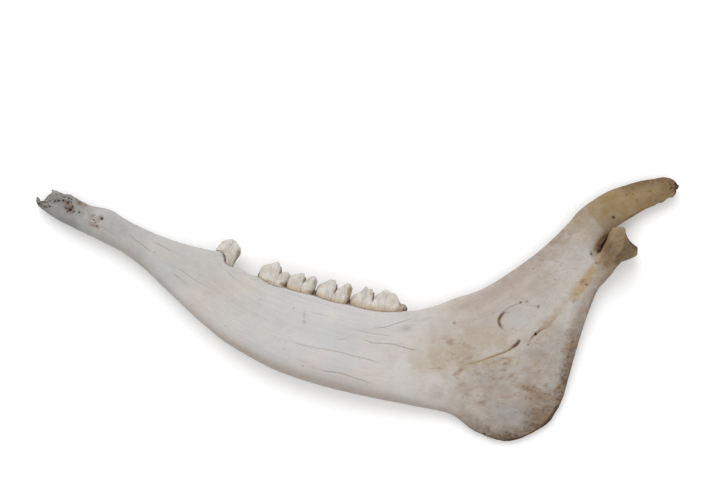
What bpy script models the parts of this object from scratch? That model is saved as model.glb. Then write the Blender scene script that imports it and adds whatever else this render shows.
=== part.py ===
"""Right half of a moose's lower jaw, dry bone, lying on its outer side.

+X runs back along the jaw to the coronoid tip, +Y up towards the chewing edge, +Z to the inner side,
which faces up. The origin is the middle of the outline at floor level. Stations are in millimetres.
"""

import math
from collections import namedtuple

import bpy
from mathutils import Vector

MM = 0.001

# Section size of the lofts
BODY_RING = 36
BODY_STEPS = 3
COLUMN_RING = 20
COLUMN_STEPS = 3
LOBE_RING = 16

# Height of the plane that the three rest points are cut to, and the size of the block that cuts them
REST_CUT = 0.6
CUT_BLOCK = (600.0, 400.0, 40.0)

# Surface finish
BONE_COLOUR = (0.70, 0.66, 0.60, 1.0)
BONE_ROUGHNESS = 0.7

# One cross-section of a loft: its two edges in (x, y, z), the thickness across it, how square its
# rims are and how far its middle sinks below them
Station = namedtuple("Station", "upper lower thick square dish")

# The jaw from the broken front end, past the toothless gap, the tooth row and the angle, to the top
# of the ramus. The upper edge carries the teeth, the lower one is the belly of the jaw and the back
# border of the ramus.
BODY = [
    Station((-231.5, 90, 9), (-244.5, 79, 9), 13, 2.6, 0.0),
    Station((-220, 86, 9.4), (-232, 69, 9.4), 19, 2.5, 0.05),
    Station((-204, 78, 10.4), (-216, 60, 10.4), 20, 2.4, 0.05),
    Station((-189, 74, 12), (-200, 52, 11.5), 19, 2.2, 0.0),
    Station((-168, 63, 13), (-177, 40, 13), 18, 2.1, 0.0),
    Station((-150, 54.5, 14.5), (-161, 28, 14), 17, 2.1, 0.0),
    Station((-131, 47.2, 15.5), (-143, 11, 15), 18, 2.1, 0.0),
    Station((-110, 41.5, 16.5), (-123, -7.5, 15), 21, 2.2, 0.0),
    Station((-98, 32, 17), (-113, -15.7, 15), 23, 2.4, 0.0),
    Station((-83, 25, 17.5), (-98, -27.5, 15), 24.5, 2.6, 0.0),
    Station((-56, 15.5, 17.5), (-70, -43.5, 15), 26, 2.7, 0.0),
    Station((-34, 8.5, 17.5), (-48, -52.5, 15), 27, 2.7, 0.0),
    Station((-9, 2.5, 17), (-21, -60.5, 14.5), 27, 2.7, 0.0),
    Station((14, -2, 16.5), (7, -67, 13.5), 25, 2.6, 0.0),
    Station((39, -3, 14.8), (38, -73, 11), 21, 2.6, 0.05),
    Station((58, 1.5, 13), (64, -79, 8.2), 17, 2.8, 0.15),
    Station((73, 7.3, 12), (88, -93, 5.1), 13.5, 3.2, 0.3),
    Station((90, 12.7, 11), (113, -99.5, 3.8), 12, 3.4, 0.38),
    Station((105, 21, 11), (137.5, -88, 4), 12, 3.4, 0.4),
    Station((120, 31, 11), (152.5, -66, 5.2), 12, 3.4, 0.4),
    Station((135, 42, 11.5), (160.5, -41, 8), 12, 3.2, 0.38),
    Station((149, 54.5, 12), (168.5, -15, 10), 12, 3.0, 0.3),
    Station((160, 66, 12), (177, 7.5, 12), 12.5, 2.8, 0.2),
    Station((164, 70, 12), (182, 17, 12.5), 13, 2.6, 0.1),
]

# The blade in front of the notch, from inside the ramus to its tip
CORONOID = [
    Station((152, 54, 12), (170, 30, 12), 9, 2.4, 0.0),
    Station((164, 71, 12), (178.5, 40, 12), 12.0, 2.5, 0.05),
    Station((178, 82, 12), (187, 54, 12), 10.5, 2.4, 0.0),
    Station((190, 89, 12), (196, 61.5, 12), 9, 2.3, 0.0),
    Station((203, 93.5, 11), (207.5, 69, 11), 8.5, 2.3, 0.0),
    Station((216, 97.2, 10), (217, 74.7, 10), 8, 2.2, 0.0),
    Station((226, 98.8, 9.5), (226.5, 78.6, 9.5), 7.5, 2.2, 0.0),
    Station((235, 99, 9), (234.5, 82.6, 9), 7, 2.2, 0.0),
    Station((243, 94, 9), (239.5, 85, 9), 5, 2.2, 0.0),
]

# The neck behind the notch, from inside the ramus to inside the joint head
NECK = [
    Station((164, 33, 12.5), (174, 8, 12.5), 9, 2.3, 0.0),
    Station((178, 39, 13.5), (186, 20, 13), 13, 2.3, 0.0),
    Station((184.5, 42.5, 16), (192, 27.5, 15.5), 17, 2.2, 0.0),
    Station((190, 45.5, 20), (199, 33.5, 20), 23, 2.2, 0.0),
    Station((195, 47, 22), (202.5, 38.5, 22), 18, 2.2, 0.0),
]

# The joint head, a bar across the jaw from its outer pole on the floor to its inner pole: centre,
# half length and half depth of each slice
Slice = namedtuple("Slice", "x y z long deep")
HEAD = [
    Slice(201, 41, 0.0, 5.0, 4.0),
    Slice(201, 41, 3.0, 7.0, 5.8),
    Slice(201, 41.5, 11.0, 7.8, 6.8),
    Slice(199.5, 42.5, 20.0, 8.5, 7.2),
    Slice(195, 44.5, 30.0, 8.0, 8.4),
    Slice(191, 47.0, 38.0, 7.5, 8.9),
    Slice(190, 48.5, 43.0, 5.0, 6.0),
]

# The bite out of the broken front end, a round cut through it, and the mandibular foramen, a
# shallow hollow in the inner face of the ramus
BITE_PLACE = (-239.0, 87.5)
BITE_RADIUS = 5.5
FORAMEN_PLACE = (119.0, -9.0, 15.5)
FORAMEN_SIZE = (10.0, 6.5, 6.0)
FORAMEN_TURN = math.radians(-12.0)

# A lobe of a cheek tooth: its foot on the jaw's edge, length along the row, width across it, the
# heights of its front end, peak and back end, the peak's place along the lobe, the drop from the
# inner ridge to the outer one and the narrowing at its neck
Lobe = namedtuple("Lobe", "x y long wide front peak back place outer neck")
LOBES = {
    "premolar_2": [Lobe(-97.5, 39.0, 19.5, 10.5, 6.0, 13.5, 6.0, 0.6, 1.5, 0.5)],
    "premolar_4": [
        Lobe(-68.5, 21.0, 18.0, 13.0, 9.0, 14.0, 9.0, 0.62, 1.0, 0.9),
        Lobe(-55.5, 16.0, 10.0, 12.0, 8.0, 9.0, 7.0, 0.6, 1.5, 0.9),
    ],
    "molar_1": [
        Lobe(-46.5, 12.8, 14.5, 15.0, 8.0, 13.0, 8.0, 0.8, 2.0, 0.9),
        Lobe(-35.0, 9.2, 12.0, 15.0, 8.0, 12.5, 8.5, 0.75, 2.0, 0.9),
    ],
    "molar_2": [
        Lobe(-24.0, 6.2, 15.5, 16.5, 8.5, 14.5, 8.5, 0.72, 2.0, 0.9),
        Lobe(-11.5, 3.2, 13.0, 16.5, 8.5, 15.2, 9.5, 0.7, 2.0, 0.9),
    ],
    "molar_3": [
        Lobe(0.5, 0.5, 16.0, 16.5, 9.0, 15.0, 9.0, 0.72, 2.0, 0.9),
        Lobe(18.5, -1.8, 20.5, 15.5, 10.0, 15.2, 9.0, 0.45, 2.5, 0.9),
        Lobe(32.5, -2.8, 8.5, 10.5, 6.6, 7.0, 4.5, 0.3, 1.0, 0.9),
    ],
}
TOOTH_LEVEL = 18.5
TOOTH_LEAN = math.radians(14.0)
ROOT_DEPTH = 16.0
VALLEY_DEPTH = 3.2


def clear_scene():
    """Empty the file of every object and mesh."""
    for item in list(bpy.data.objects):
        bpy.data.objects.remove(item, do_unlink=True)
    for mesh in list(bpy.data.meshes):
        bpy.data.meshes.remove(mesh)


def bone_material():
    """The one finish of the part, dry matt bone."""
    material = bpy.data.materials.new("bone")
    material.use_nodes = True
    shader = material.node_tree.nodes["Principled BSDF"]
    shader.inputs["Base Color"].default_value = BONE_COLOUR
    shader.inputs["Roughness"].default_value = BONE_ROUGHNESS
    return material


def curve_through(a, b, c, d, t):
    """A smooth curve from b to c that also heeds their neighbours a and d."""
    straight = (c - a) * 0.5
    leaving = (d - b) * 0.5
    first = 2.0 * b - 2.0 * c + straight + leaving
    second = -3.0 * b + 3.0 * c - 2.0 * straight - leaving
    return ((first * t + second) * t + straight) * t + b


def blend(stations, steps):
    """Stations with smoothly placed ones added between them, as (upper, lower, thick, square, dish)."""
    rows = [
        (Vector(s.upper), Vector(s.lower), s.thick, s.square, s.dish)
        for s in stations
    ]
    result = []
    for i in range(len(rows) - 1):
        before = rows[max(i - 1, 0)]
        after = rows[min(i + 2, len(rows) - 1)]
        for step in range(steps):
            t = step / steps
            fields = zip(before, rows[i], rows[i + 1], after)
            result.append([curve_through(a, b, c, d, t) for a, b, c, d in fields])
    result.append(list(rows[-1]))
    return result


def section(upper, lower, thick, square, dish, count):
    """One ring: a rounded bar between the two edges whose middle may sink below its rims."""
    power = 2.0 / square
    points = []
    for k in range(count):
        angle = 2.0 * math.pi * k / count
        along = math.copysign(abs(math.cos(angle)) ** power, math.cos(angle))
        across = math.copysign(abs(math.sin(angle)) ** power, math.sin(angle))
        across *= 1.0 - dish * (1.0 - along * along)
        point = lower.lerp(upper, 0.5 + 0.5 * along)
        points.append(point + Vector((0.0, 0.0, 0.5 * thick * across)))
    return points


def new_object(name, points, faces):
    """A mesh object from points in millimetres."""
    mesh = bpy.data.meshes.new(name)
    mesh.from_pydata([tuple(p * MM) for p in points], [], faces)
    mesh.validate()
    item = bpy.data.objects.new(name, mesh)
    bpy.context.scene.collection.objects.link(item)
    return item


def skin(name, rings):
    """A closed skin over rings of equal size, with a fan of faces at each end."""
    count = len(rings[0])
    points = [p for ring in rings for p in ring]
    faces = []
    for r in range(len(rings) - 1):
        for k in range(count):
            near = r * count + k
            beside = r * count + (k + 1) % count
            faces.append((near, beside, beside + count, near + count))
    first = len(points)
    points.append(sum(rings[0], Vector()) / count)
    points.append(sum(rings[-1], Vector()) / count)
    last = (len(rings) - 1) * count
    for k in range(count):
        beside = (k + 1) % count
        faces.append((first, beside, k))
        faces.append((first + 1, last + k, last + beside))
    item = new_object(name, points, faces)
    turn_outward(item)
    return item


def turn_outward(item):
    """Face every polygon of a closed skin outward."""
    mesh = item.data
    volume = 0.0
    for face in mesh.polygons:
        corners = [mesh.vertices[i].co for i in face.vertices]
        for i in range(1, len(corners) - 1):
            volume += corners[0].dot(corners[i].cross(corners[i + 1]))
    if volume < 0.0:
        mesh.flip_normals()


def loft(name, stations, steps, count):
    """A closed loft through the stations."""
    return skin(name, [section(*row, count) for row in blend(stations, steps)])


def joint_head(name, slices, count):
    """The bar of the joint head, stacked up from its slices."""
    rings = []
    for s in slices:
        ring = []
        for k in range(count):
            angle = 2.0 * math.pi * k / count
            ring.append(Vector((s.x + s.long * math.cos(angle), s.y + s.deep * math.sin(angle), s.z)))
        rings.append(ring)
    return skin(name, rings)


def crown_height(lobe, along, across):
    """Height of the chewing surface at a place given from -1 to 1 along and across the lobe."""
    here = 0.5 + 0.5 * along
    if here < lobe.place:
        ridge = lobe.front + (lobe.peak - lobe.front) * here / lobe.place
    else:
        fall = (here - lobe.place) / (1.0 - lobe.place)
        ridge = lobe.peak + (lobe.back - lobe.peak) * fall
    valley = VALLEY_DEPTH * (1.0 - min(1.0, abs(across) / 0.75)) ** 0.8
    outer = lobe.outer * (0.5 - 0.5 * across)
    return ridge - outer - valley


def tooth_lobe(name, lobe):
    """One lobe of a tooth: a tapered root, a swelling crown and a ridged top."""
    lean = TOOTH_LEAN
    row = Vector((math.cos(lean), -math.sin(lean), 0.0))
    rise = Vector((math.sin(lean), math.cos(lean), 0.0))
    out = Vector((0.0, 0.0, 1.0))
    foot = Vector((lobe.x, lobe.y, TOOTH_LEVEL))
    levels = [
        (-ROOT_DEPTH, 0.5 * lobe.neck),
        (-0.5 * ROOT_DEPTH, 0.8 * lobe.neck),
        (-1.0, lobe.neck),
        (0.3 * lobe.front, 0.99),
    ]
    rings = []
    for level, scale in levels:
        rings.append([foot + rise * level + flat for flat in lobe_outline(lobe, scale, row, out)])
    for scale in (0.96, 0.72, 0.45, 0.18):
        ring = []
        for k, flat in enumerate(lobe_outline(lobe, scale, row, out)):
            along = 2.0 * flat.dot(row) / lobe.long
            across = 2.0 * flat.dot(out) / lobe.wide
            ring.append(foot + flat + rise * crown_height(lobe, along, across))
        rings.append(ring)
    return skin(name, rings)


def lobe_outline(lobe, scale, row, out):
    """The lobe's plan outline, a rounded rectangle, as offsets from its axis."""
    offsets = []
    for k in range(LOBE_RING):
        angle = 2.0 * math.pi * (k + 0.5) / LOBE_RING
        along = math.copysign(abs(math.cos(angle)) ** 0.75, math.cos(angle))
        across = math.copysign(abs(math.sin(angle)) ** 0.75, math.sin(angle))
        offsets.append(row * (0.5 * lobe.long * scale * along) + out * (0.5 * lobe.wide * scale * across))
    return offsets


def join_all(base, others):
    """Fuse the closed objects into the base by one union and remove them."""
    group = bpy.data.collections.new("to_join")
    bpy.context.scene.collection.children.link(group)
    for item in others:
        bpy.context.scene.collection.objects.unlink(item)
        group.objects.link(item)
    union = base.modifiers.new("union", "BOOLEAN")
    union.operation = "UNION"
    union.operand_type = "COLLECTION"
    union.collection = group
    union.solver = "EXACT"
    apply_modifiers(base)
    for item in others:
        bpy.data.objects.remove(item, do_unlink=True)
    bpy.data.collections.remove(group)


def apply_modifiers(item):
    """Replace an object's mesh by its evaluated one."""
    graph = bpy.context.evaluated_depsgraph_get()
    result = bpy.data.meshes.new_from_object(item.evaluated_get(graph))
    old = item.data
    item.modifiers.clear()
    item.data = result
    bpy.data.meshes.remove(old)


def cut_away(item, cutter):
    """Cut one closed object out of another and remove it."""
    cutter.hide_render = True
    cutter.display_type = "WIRE"
    bpy.context.view_layer.update()
    cut = item.modifiers.new("cut", "BOOLEAN")
    cut.operation = "DIFFERENCE"
    cut.object = cutter
    cut.solver = "EXACT"
    apply_modifiers(item)
    bpy.data.objects.remove(cutter, do_unlink=True)


def cut_bite(item):
    """Cut the round bite out of the broken front end."""
    x, y = BITE_PLACE
    bpy.ops.mesh.primitive_cylinder_add(vertices=20, radius=BITE_RADIUS * MM, depth=0.08)
    cutter = bpy.context.object
    cutter.name = "bite_cutter"
    cutter.location = (x * MM, y * MM, 0.0)
    cut_away(item, cutter)


def cut_foramen(item):
    """Sink the hollow of the foramen into the inner face."""
    bpy.ops.mesh.primitive_uv_sphere_add(segments=20, ring_count=12, radius=1.0)
    cutter = bpy.context.object
    cutter.name = "foramen_cutter"
    cutter.scale = [size * MM for size in FORAMEN_SIZE]
    cutter.rotation_euler = (0.0, 0.0, FORAMEN_TURN)
    cutter.location = [place * MM for place in FORAMEN_PLACE]
    cut_away(item, cutter)


def cut_rest_flats(item):
    """Cut the lowest points to one level and set that level at height 0."""
    bpy.ops.mesh.primitive_cube_add(size=1.0)
    block = bpy.context.object
    block.name = "rest_cutter"
    block.scale = [size * MM for size in CUT_BLOCK]
    low = min(v.co.z for v in item.data.vertices)
    level = low + REST_CUT * MM
    block.location = (0.0, 0.0, level - 0.5 * CUT_BLOCK[2] * MM)
    cut_away(item, block)
    for vertex in item.data.vertices:
        vertex.co.z -= level


def keep_largest_surface(item):
    """Drop every closed surface but the one with the most faces."""
    mesh = item.data
    owner = list(range(len(mesh.vertices)))

    def root(i):
        while owner[i] != i:
            owner[i] = owner[owner[i]]
            i = owner[i]
        return i

    for edge in mesh.edges:
        a, b = root(edge.vertices[0]), root(edge.vertices[1])
        owner[a] = b
    groups = {}
    for face in mesh.polygons:
        groups.setdefault(root(face.vertices[0]), []).append(face)
    largest = max(groups.values(), key=len)
    if len(largest) == len(mesh.polygons):
        return
    used = sorted({i for face in largest for i in face.vertices})
    index = {old: new for new, old in enumerate(used)}
    kept = bpy.data.meshes.new(mesh.name)
    points = [mesh.vertices[i].co.copy() for i in used]
    kept.from_pydata(points, [], [[index[i] for i in face.vertices] for face in largest])
    item.data = kept
    bpy.data.meshes.remove(mesh)


def build():
    """Build the jawbone as one closed node."""
    clear_scene()
    jaw = loft("jawbone", BODY, BODY_STEPS, BODY_RING)
    parts = [
        loft("coronoid", CORONOID, COLUMN_STEPS, COLUMN_RING),
        loft("neck", NECK, COLUMN_STEPS, COLUMN_RING),
        joint_head("head", HEAD, COLUMN_RING),
    ]
    for tooth, lobes in LOBES.items():
        for number, lobe in enumerate(lobes, start=1):
            parts.append(tooth_lobe(f"{tooth}_lobe_{number}", lobe))
    join_all(jaw, parts)
    cut_bite(jaw)
    cut_foramen(jaw)
    cut_rest_flats(jaw)
    keep_largest_surface(jaw)
    jaw.data.name = "jawbone"
    jaw.data.materials.clear()
    jaw.data.materials.append(bone_material())


build()
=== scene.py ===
"""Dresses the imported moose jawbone: a fine bone skin, five cheek teeth, a pale floor and soft light.

Inside this file sizes are in millimetres. +X runs back along the jaw, +Y to the chewing edge and +Z to
the inner side, which faces up as the bone lies.
"""

import itertools
import logging
import math
from collections.abc import Iterable
from dataclasses import dataclass
from enum import Enum

import bmesh
import bpy
import numpy as np
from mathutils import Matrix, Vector
from mathutils.kdtree import KDTree


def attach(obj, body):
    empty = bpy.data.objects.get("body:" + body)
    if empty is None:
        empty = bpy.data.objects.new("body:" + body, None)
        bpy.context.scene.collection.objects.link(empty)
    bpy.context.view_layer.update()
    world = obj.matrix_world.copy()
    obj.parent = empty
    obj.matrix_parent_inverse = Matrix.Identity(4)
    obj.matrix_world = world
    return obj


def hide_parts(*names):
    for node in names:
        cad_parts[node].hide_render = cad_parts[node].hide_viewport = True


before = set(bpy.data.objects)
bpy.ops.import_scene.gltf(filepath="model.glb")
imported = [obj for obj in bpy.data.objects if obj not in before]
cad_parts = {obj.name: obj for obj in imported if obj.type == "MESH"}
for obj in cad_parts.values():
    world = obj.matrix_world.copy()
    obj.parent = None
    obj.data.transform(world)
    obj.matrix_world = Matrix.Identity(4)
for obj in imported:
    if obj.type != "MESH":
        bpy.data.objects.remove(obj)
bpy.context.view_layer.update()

LOG = logging.getLogger("moose_jaw")
MM = 0.001
Array = np.ndarray
Item = bpy.types.Object
Socket = bpy.types.NodeSocket
Tree = bpy.types.NodeTree
Pair = tuple[float, float]
Triple = tuple[float, float, float]
Colour = tuple[float, float, float, float]
Line = tuple[Pair, ...]
Faces = list[tuple[int, ...]]


class Zone(str, Enum):
    """The stains, weathered patches and painted shade that the bone material mixes."""

    GREY = "grey"
    DUSK = "dusk"
    # Painted shade on the faces that turn down the jaw
    SHADE = "shade"
    # Painted shade behind the ramus crest, and two faint pink strips on the body
    ROSE_SHADE = "rose_shade"
    TAN = "tan"
    GOLD = "gold"
    BROWN = "brown"
    RUST = "rust"
    CHALK = "chalk"
    # Grime and painted shade in hollows, grooves, holes, breaks and the notch
    DIRT_AND_SHADE = "dirt_and_shade"


class ToothZone(str, Enum):
    """The parts of a tooth that its material tells apart."""

    NECK = "neck"
    # Brown dentine on the chewing top, and painted shade in the notches between lobes and on a root
    WORN_AND_SHADE = "worn_and_shade"
    GOLD = "golden"
    # Grime and painted shade at the gaps between teeth and along the crown's base
    DIRT_AND_SHADE = "dirt_and_shade"


@dataclass(frozen=True)
class Station:
    """One cross-section of a loft.

    The section is a rounded bar between its upper and lower edge. square says how blunt its rims are
    and dish how far its middle sinks below them.
    """

    upper: Triple
    lower: Triple
    thick: float
    square: float = 2.2
    dish: float = 0.0


@dataclass(frozen=True)
class Level:
    """One level of the joint head: its height and ten places around it."""

    z: float
    outline: Line


@dataclass(frozen=True)
class Patch:
    """A soft oval patch of one zone on the bone, seen from its inner side."""

    zone: Zone
    x: float
    y: float
    long: float
    wide: float
    turn: float
    strength: float
    soft: float


@dataclass(frozen=True)
class Band:
    """A band of one zone along a line, which fades out over its reach to both sides and at both ends."""

    zone: Zone
    line: Line
    reach: float
    strength: float
    ends: float = 0.15


@dataclass(frozen=True)
class Pit:
    """A small hole in one face of the bone, painted dark inside with grime and painted shade."""

    x: float
    y: float
    radius: float
    depth: float
    dirt_and_shade: float
    inner: bool = True


@dataclass(frozen=True)
class Seam:
    """A crack, a fine groove or a painted shadow line, drawn along a line on the inner face.

    width is half of its width and tone how dark it is. It comes and goes over the shares start and
    stop of its length, and depth is how deep it is cut.
    """

    line: Line
    width: float
    tone: float
    start: float = 0.15
    stop: float = 0.3
    depth: float = 0.0


@dataclass(frozen=True)
class Mark:
    """A soft oval mark on a tooth, placed along its row and up its crown."""

    zone: ToothZone
    u: float
    h: float
    along: float
    up: float
    strength: float


@dataclass(frozen=True)
class RootRing:
    """One level of a tooth's root, with its place and size as shares of the crown's."""

    h: float
    middle: float
    long: float
    wide: float


def ramp(value: Array, low: float, high: float) -> Array:
    """A smooth step from 0 at low to 1 at high."""
    t = np.clip((value - low) / (high - low), 0.0, 1.0)
    return t * t * (3.0 - 2.0 * t)


def fade(value: Array, low: float, high: float) -> Array:
    """A smooth step from 1 at low to 0 at high."""
    return 1.0 - ramp(value, low, high)


def hump(value: Array, reach: float) -> Array:
    """A soft hump that is 1 at 0 and sinks to both sides."""
    return np.exp(-((value / reach) ** 2))


def lay(zones: dict[Enum, Array], zone: Enum, strength: Array) -> None:
    """Raise one zone to a strength wherever it is weaker."""
    zones[zone] = np.maximum(zones[zone], strength)


def to_line(spots: Array, line: Line) -> tuple[Array, Array, Array]:
    """Distance of each spot from a line of points, its side, and its nearest place along the line.

    Args:
        spots: Places (x, y), one a row.
        line: The line's points.

    Returns:
        The distances, the sides as 1 or -1, and the places along the line from 0 to 1.
    """
    points = np.asarray(line, dtype=float)
    lengths = np.linalg.norm(np.diff(points, axis=0), axis=1)
    starts = np.concatenate([[0.0], np.cumsum(lengths)])
    nearest = np.full(len(spots), np.inf)
    side = np.ones(len(spots))
    along = np.zeros(len(spots))
    for i, length in enumerate(lengths):
        direction = (points[i + 1] - points[i]) / length
        offset = spots - points[i]
        run = np.clip(offset @ direction, 0.0, length)
        gap = np.linalg.norm(offset - run[:, None] * direction, axis=1)
        cross = direction[0] * offset[:, 1] - direction[1] * offset[:, 0]
        closer = gap < nearest
        nearest[closer] = gap[closer]
        side[closer] = np.where(cross[closer] < 0.0, -1.0, 1.0)
        along[closer] = (starts[i] + run[closer]) / starts[-1]
    return nearest, side, along


def away(points: Array, place: Pair, squeeze: float = 1.0) -> Array:
    """Distance of each point from a place seen from the inner side, with y counted squeeze times."""
    return np.hypot(points[:, 0] - place[0], (points[:, 1] - place[1]) * squeeze)


def smooth_line(line: Line, steps: int = 6) -> Line:
    """The same line with curved stretches between its points."""
    points = np.asarray(line, dtype=float)
    table = cubic_rows(points, steps)
    return tuple((float(x), float(y)) for x, y in table)


def strewn(seed: int, count: int, x: float, y: float, long: float, wide: float,
           turn: float) -> list[list[float]]:
    """Scatter uneven places over an oval.

    Args:
        seed: Picks the pattern.
        count: How many places.
        x: Middle of the oval.
        y: Middle of the oval.
        long: Half its length.
        wide: Half its width.
        turn: Direction of its length in degrees.

    Returns:
        For each place its x, its y and a size from 0 to 1, mostly small.
    """
    rng = np.random.default_rng(seed)
    angle, reach = rng.uniform(0.0, 2.0 * math.pi, count), np.sqrt(rng.uniform(0.0, 1.0, count))
    along, across = long * reach * np.cos(angle), wide * reach * np.sin(angle)
    c, d = math.cos(math.radians(turn)), math.sin(math.radians(turn))
    size = rng.uniform(0.0, 1.0, count) ** 2
    return np.column_stack([x + along * c - across * d, y + along * d + across * c, size]).tolist()


def grown(measures: tuple[Pair, ...], *ovals: tuple[float, ...]) -> list[tuple[float, ...]]:
    """Rows for small features strewn over ovals.

    Args:
        measures: For each measure its least value and how much it grows with a feature's size.
        ovals: What strewn takes for each oval.

    Returns:
        For each feature its x, its y and its measures.
    """
    places = itertools.chain.from_iterable(strewn(*oval) for oval in ovals)
    return [(x, y, *(least + growth * size for least, growth in measures)) for x, y, size in places]


def patches(zone: Zone, soft: float, rows: Iterable[tuple[float, ...]]) -> list[Patch]:
    """Patches of one zone and softness, from rows of x, y, long, wide, turn and strength."""
    return [Patch(zone, *row, soft) for row in rows]


def cubic_rows(table: Array, steps: int) -> Array:
    """Rows of a table with smoothly placed ones added between them.

    Args:
        table: One row for each given station.
        steps: Number of spans that each gap between two rows becomes.

    Returns:
        The longer table, which starts and ends with the given rows.
    """
    before = np.vstack([table[:1], table[:-2]]) if len(table) > 2 else table[:1]
    after = np.vstack([table[2:], table[-1:]]) if len(table) > 2 else table[-1:]
    rows = []
    for i in range(len(table) - 1):
        a, b, c, d = before[i], table[i], table[i + 1], after[i]
        leave, arrive = (c - a) * 0.5, (d - b) * 0.5
        for step in range(steps):
            t = step / steps
            first = 2.0 * b - 2.0 * c + leave + arrive
            second = -3.0 * b + 3.0 * c - 2.0 * leave - arrive
            rows.append(((first * t + second) * t + leave) * t + b)
    rows.append(table[-1])
    return np.array(rows)


class Noise:
    """Smooth random fields over points, the same on every run."""

    def __init__(self, seed: int) -> None:
        """Keep the seed that tells this field from others."""
        self.seed = seed

    def _cell(self, cells: Array, salt: int = 0) -> Array:
        """A random value from 0 to 1 for each whole-number cell."""
        x, y, z = (cells[:, i].astype(np.int64) for i in range(3))
        mixed = x * 73856093 ^ y * 19349663 ^ z * 83492791 ^ (self.seed * 2654435 + salt * 40503)
        mixed = (mixed ^ (mixed >> 13)) * 1274126177
        mixed = mixed ^ (mixed >> 16)
        return (mixed & 0xFFFFFF) / float(0xFFFFFF)

    def value(self, points: Array, size: float) -> Array:
        """One smooth layer.

        Args:
            points: The places to ask for.
            size: Width of the bumps.

        Returns:
            A value from -1 to 1 for each place.
        """
        place = points / size
        base = np.floor(place)
        t = place - base
        t = t * t * (3.0 - 2.0 * t)
        total = np.zeros(len(points))
        for corner in itertools.product((0, 1), repeat=3):
            weight = np.prod(np.where(corner, t, 1.0 - t), axis=1)
            total += weight * self._cell(base + corner)
        return total * 2.0 - 1.0

    def fractal(self, points: Array, size: float, layers: int = 3) -> Array:
        """Several layers, each half as wide and half as strong as the last.

        Args:
            points: The places to ask for.
            size: Width of the widest bumps.
            layers: How many layers.

        Returns:
            A value from about -1 to 1 for each place.
        """
        total = np.zeros(len(points))
        weight = 1.0
        for layer in range(layers):
            total += weight * self.value(points + 17.3 * layer, size / 2**layer)
            weight *= 0.5
        return total / (2.0 - 2.0 * weight)

    def pores(self, points: Array, size: float) -> tuple[Array, Array]:
        """Distance from the nearest scattered spot, in sizes, and that spot's own random value.

        Args:
            points: The places to ask for.
            size: Mean spacing of the spots.

        Returns:
            The distances and the spots' values from 0 to 1.
        """
        place = points / size
        base = np.floor(place)
        nearest = np.full(len(points), np.inf)
        value = np.zeros(len(points))
        for step in itertools.product((-1, 0, 1), repeat=3):
            cell = base + step
            spot = cell + np.stack([self._cell(cell, salt) for salt in (1, 2, 3)], axis=1)
            gap = np.linalg.norm(place - spot, axis=1)
            closer = gap < nearest
            nearest[closer] = gap[closer]
            value[closer] = self._cell(cell, 4)[closer]
        return nearest, value


@dataclass
class Skin:
    """A mesh as plain arrays: points in millimetres and its polygons' corners."""

    points: Array
    faces: Faces

    def to_object(self, name: str) -> Item:
        """A new object in metres, linked to the scene."""
        mesh = bpy.data.meshes.new(name)
        mesh.from_pydata((self.points * MM).tolist(), [], self.faces)
        mesh.update()
        item = bpy.data.objects.new(name, mesh)
        bpy.context.scene.collection.objects.link(item)
        return item


def outward(points: Array, faces: Faces) -> Skin:
    """A closed skin whose faces are turned to the outside."""
    corner = points[np.array([f[:3] for f in faces])]
    if np.einsum("ij,ij->", corner[:, 0], np.cross(corner[:, 1], corner[:, 2])) < 0.0:
        faces = [tuple(reversed(f)) for f in faces]
    return Skin(points, faces)


def ring_skin(rings: Array) -> Skin:
    """A closed skin over rings, with a fan of faces at each end.

    Args:
        rings: Points by ring, place around it and axis.

    Returns:
        The skin.
    """
    levels, count, _ = rings.shape
    points = rings.reshape(-1, 3)
    ends = np.array([rings[0].mean(axis=0), rings[-1].mean(axis=0)])
    points = np.vstack([points, ends])
    faces: Faces = []
    last = (levels - 1) * count
    first_end = levels * count
    for k in range(count):
        beside = (k + 1) % count
        for level in range(levels - 1):
            row = level * count
            faces.append((row + k, row + beside, row + count + beside, row + count + k))
        faces.append((first_end, beside, k))
        faces.append((first_end + 1, last + k, last + beside))
    return outward(points, faces)


def prism(outline: Line, low: float, high: float, shift: Pair = (0.0, 0.0)) -> Skin:
    """A closed block over an outline, whose top is shifted against its foot.

    Args:
        outline: The foot's corners.
        low: Height of the foot.
        high: Height of the top.
        shift: How far the top stands aside.

    Returns:
        The block.
    """
    base = np.asarray(outline, dtype=float)
    count = len(base)
    if np.sum(base[:, 0] * np.roll(base[:, 1], -1) - np.roll(base[:, 0], -1) * base[:, 1]) < 0.0:
        base = base[::-1]
    foot = np.column_stack([base, np.full(count, low)])
    top = np.column_stack([base + np.asarray(shift), np.full(count, high)])
    faces: Faces = [tuple(range(count - 1, -1, -1)), tuple(range(count, 2 * count))]
    for k in range(count):
        beside = (k + 1) % count
        faces.append((k, beside, count + beside, count + k))
    return Skin(np.vstack([foot, top]), faces)


def closed_curve(outline: Line, steps: int, bend: float = 0.5) -> Array:
    """Points on a closed curve through an outline.

    Args:
        outline: The given places.
        steps: Spans between two of them.
        bend: 0 for straight stretches, 1 for smooth ones.

    Returns:
        The points, one a row.
    """
    points = np.asarray(outline, dtype=float)
    ring = np.vstack([points[-1:], points, points[:2]])
    smooth = cubic_rows(ring, steps)[steps:-steps - 1]
    share = np.tile(np.arange(steps) / steps, len(points))[:, None]
    start = np.repeat(points, steps, axis=0)
    stop = np.repeat(np.roll(points, -1, axis=0), steps, axis=0)
    straight = start + (stop - start) * share
    return straight + (smooth - straight) * bend


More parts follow.
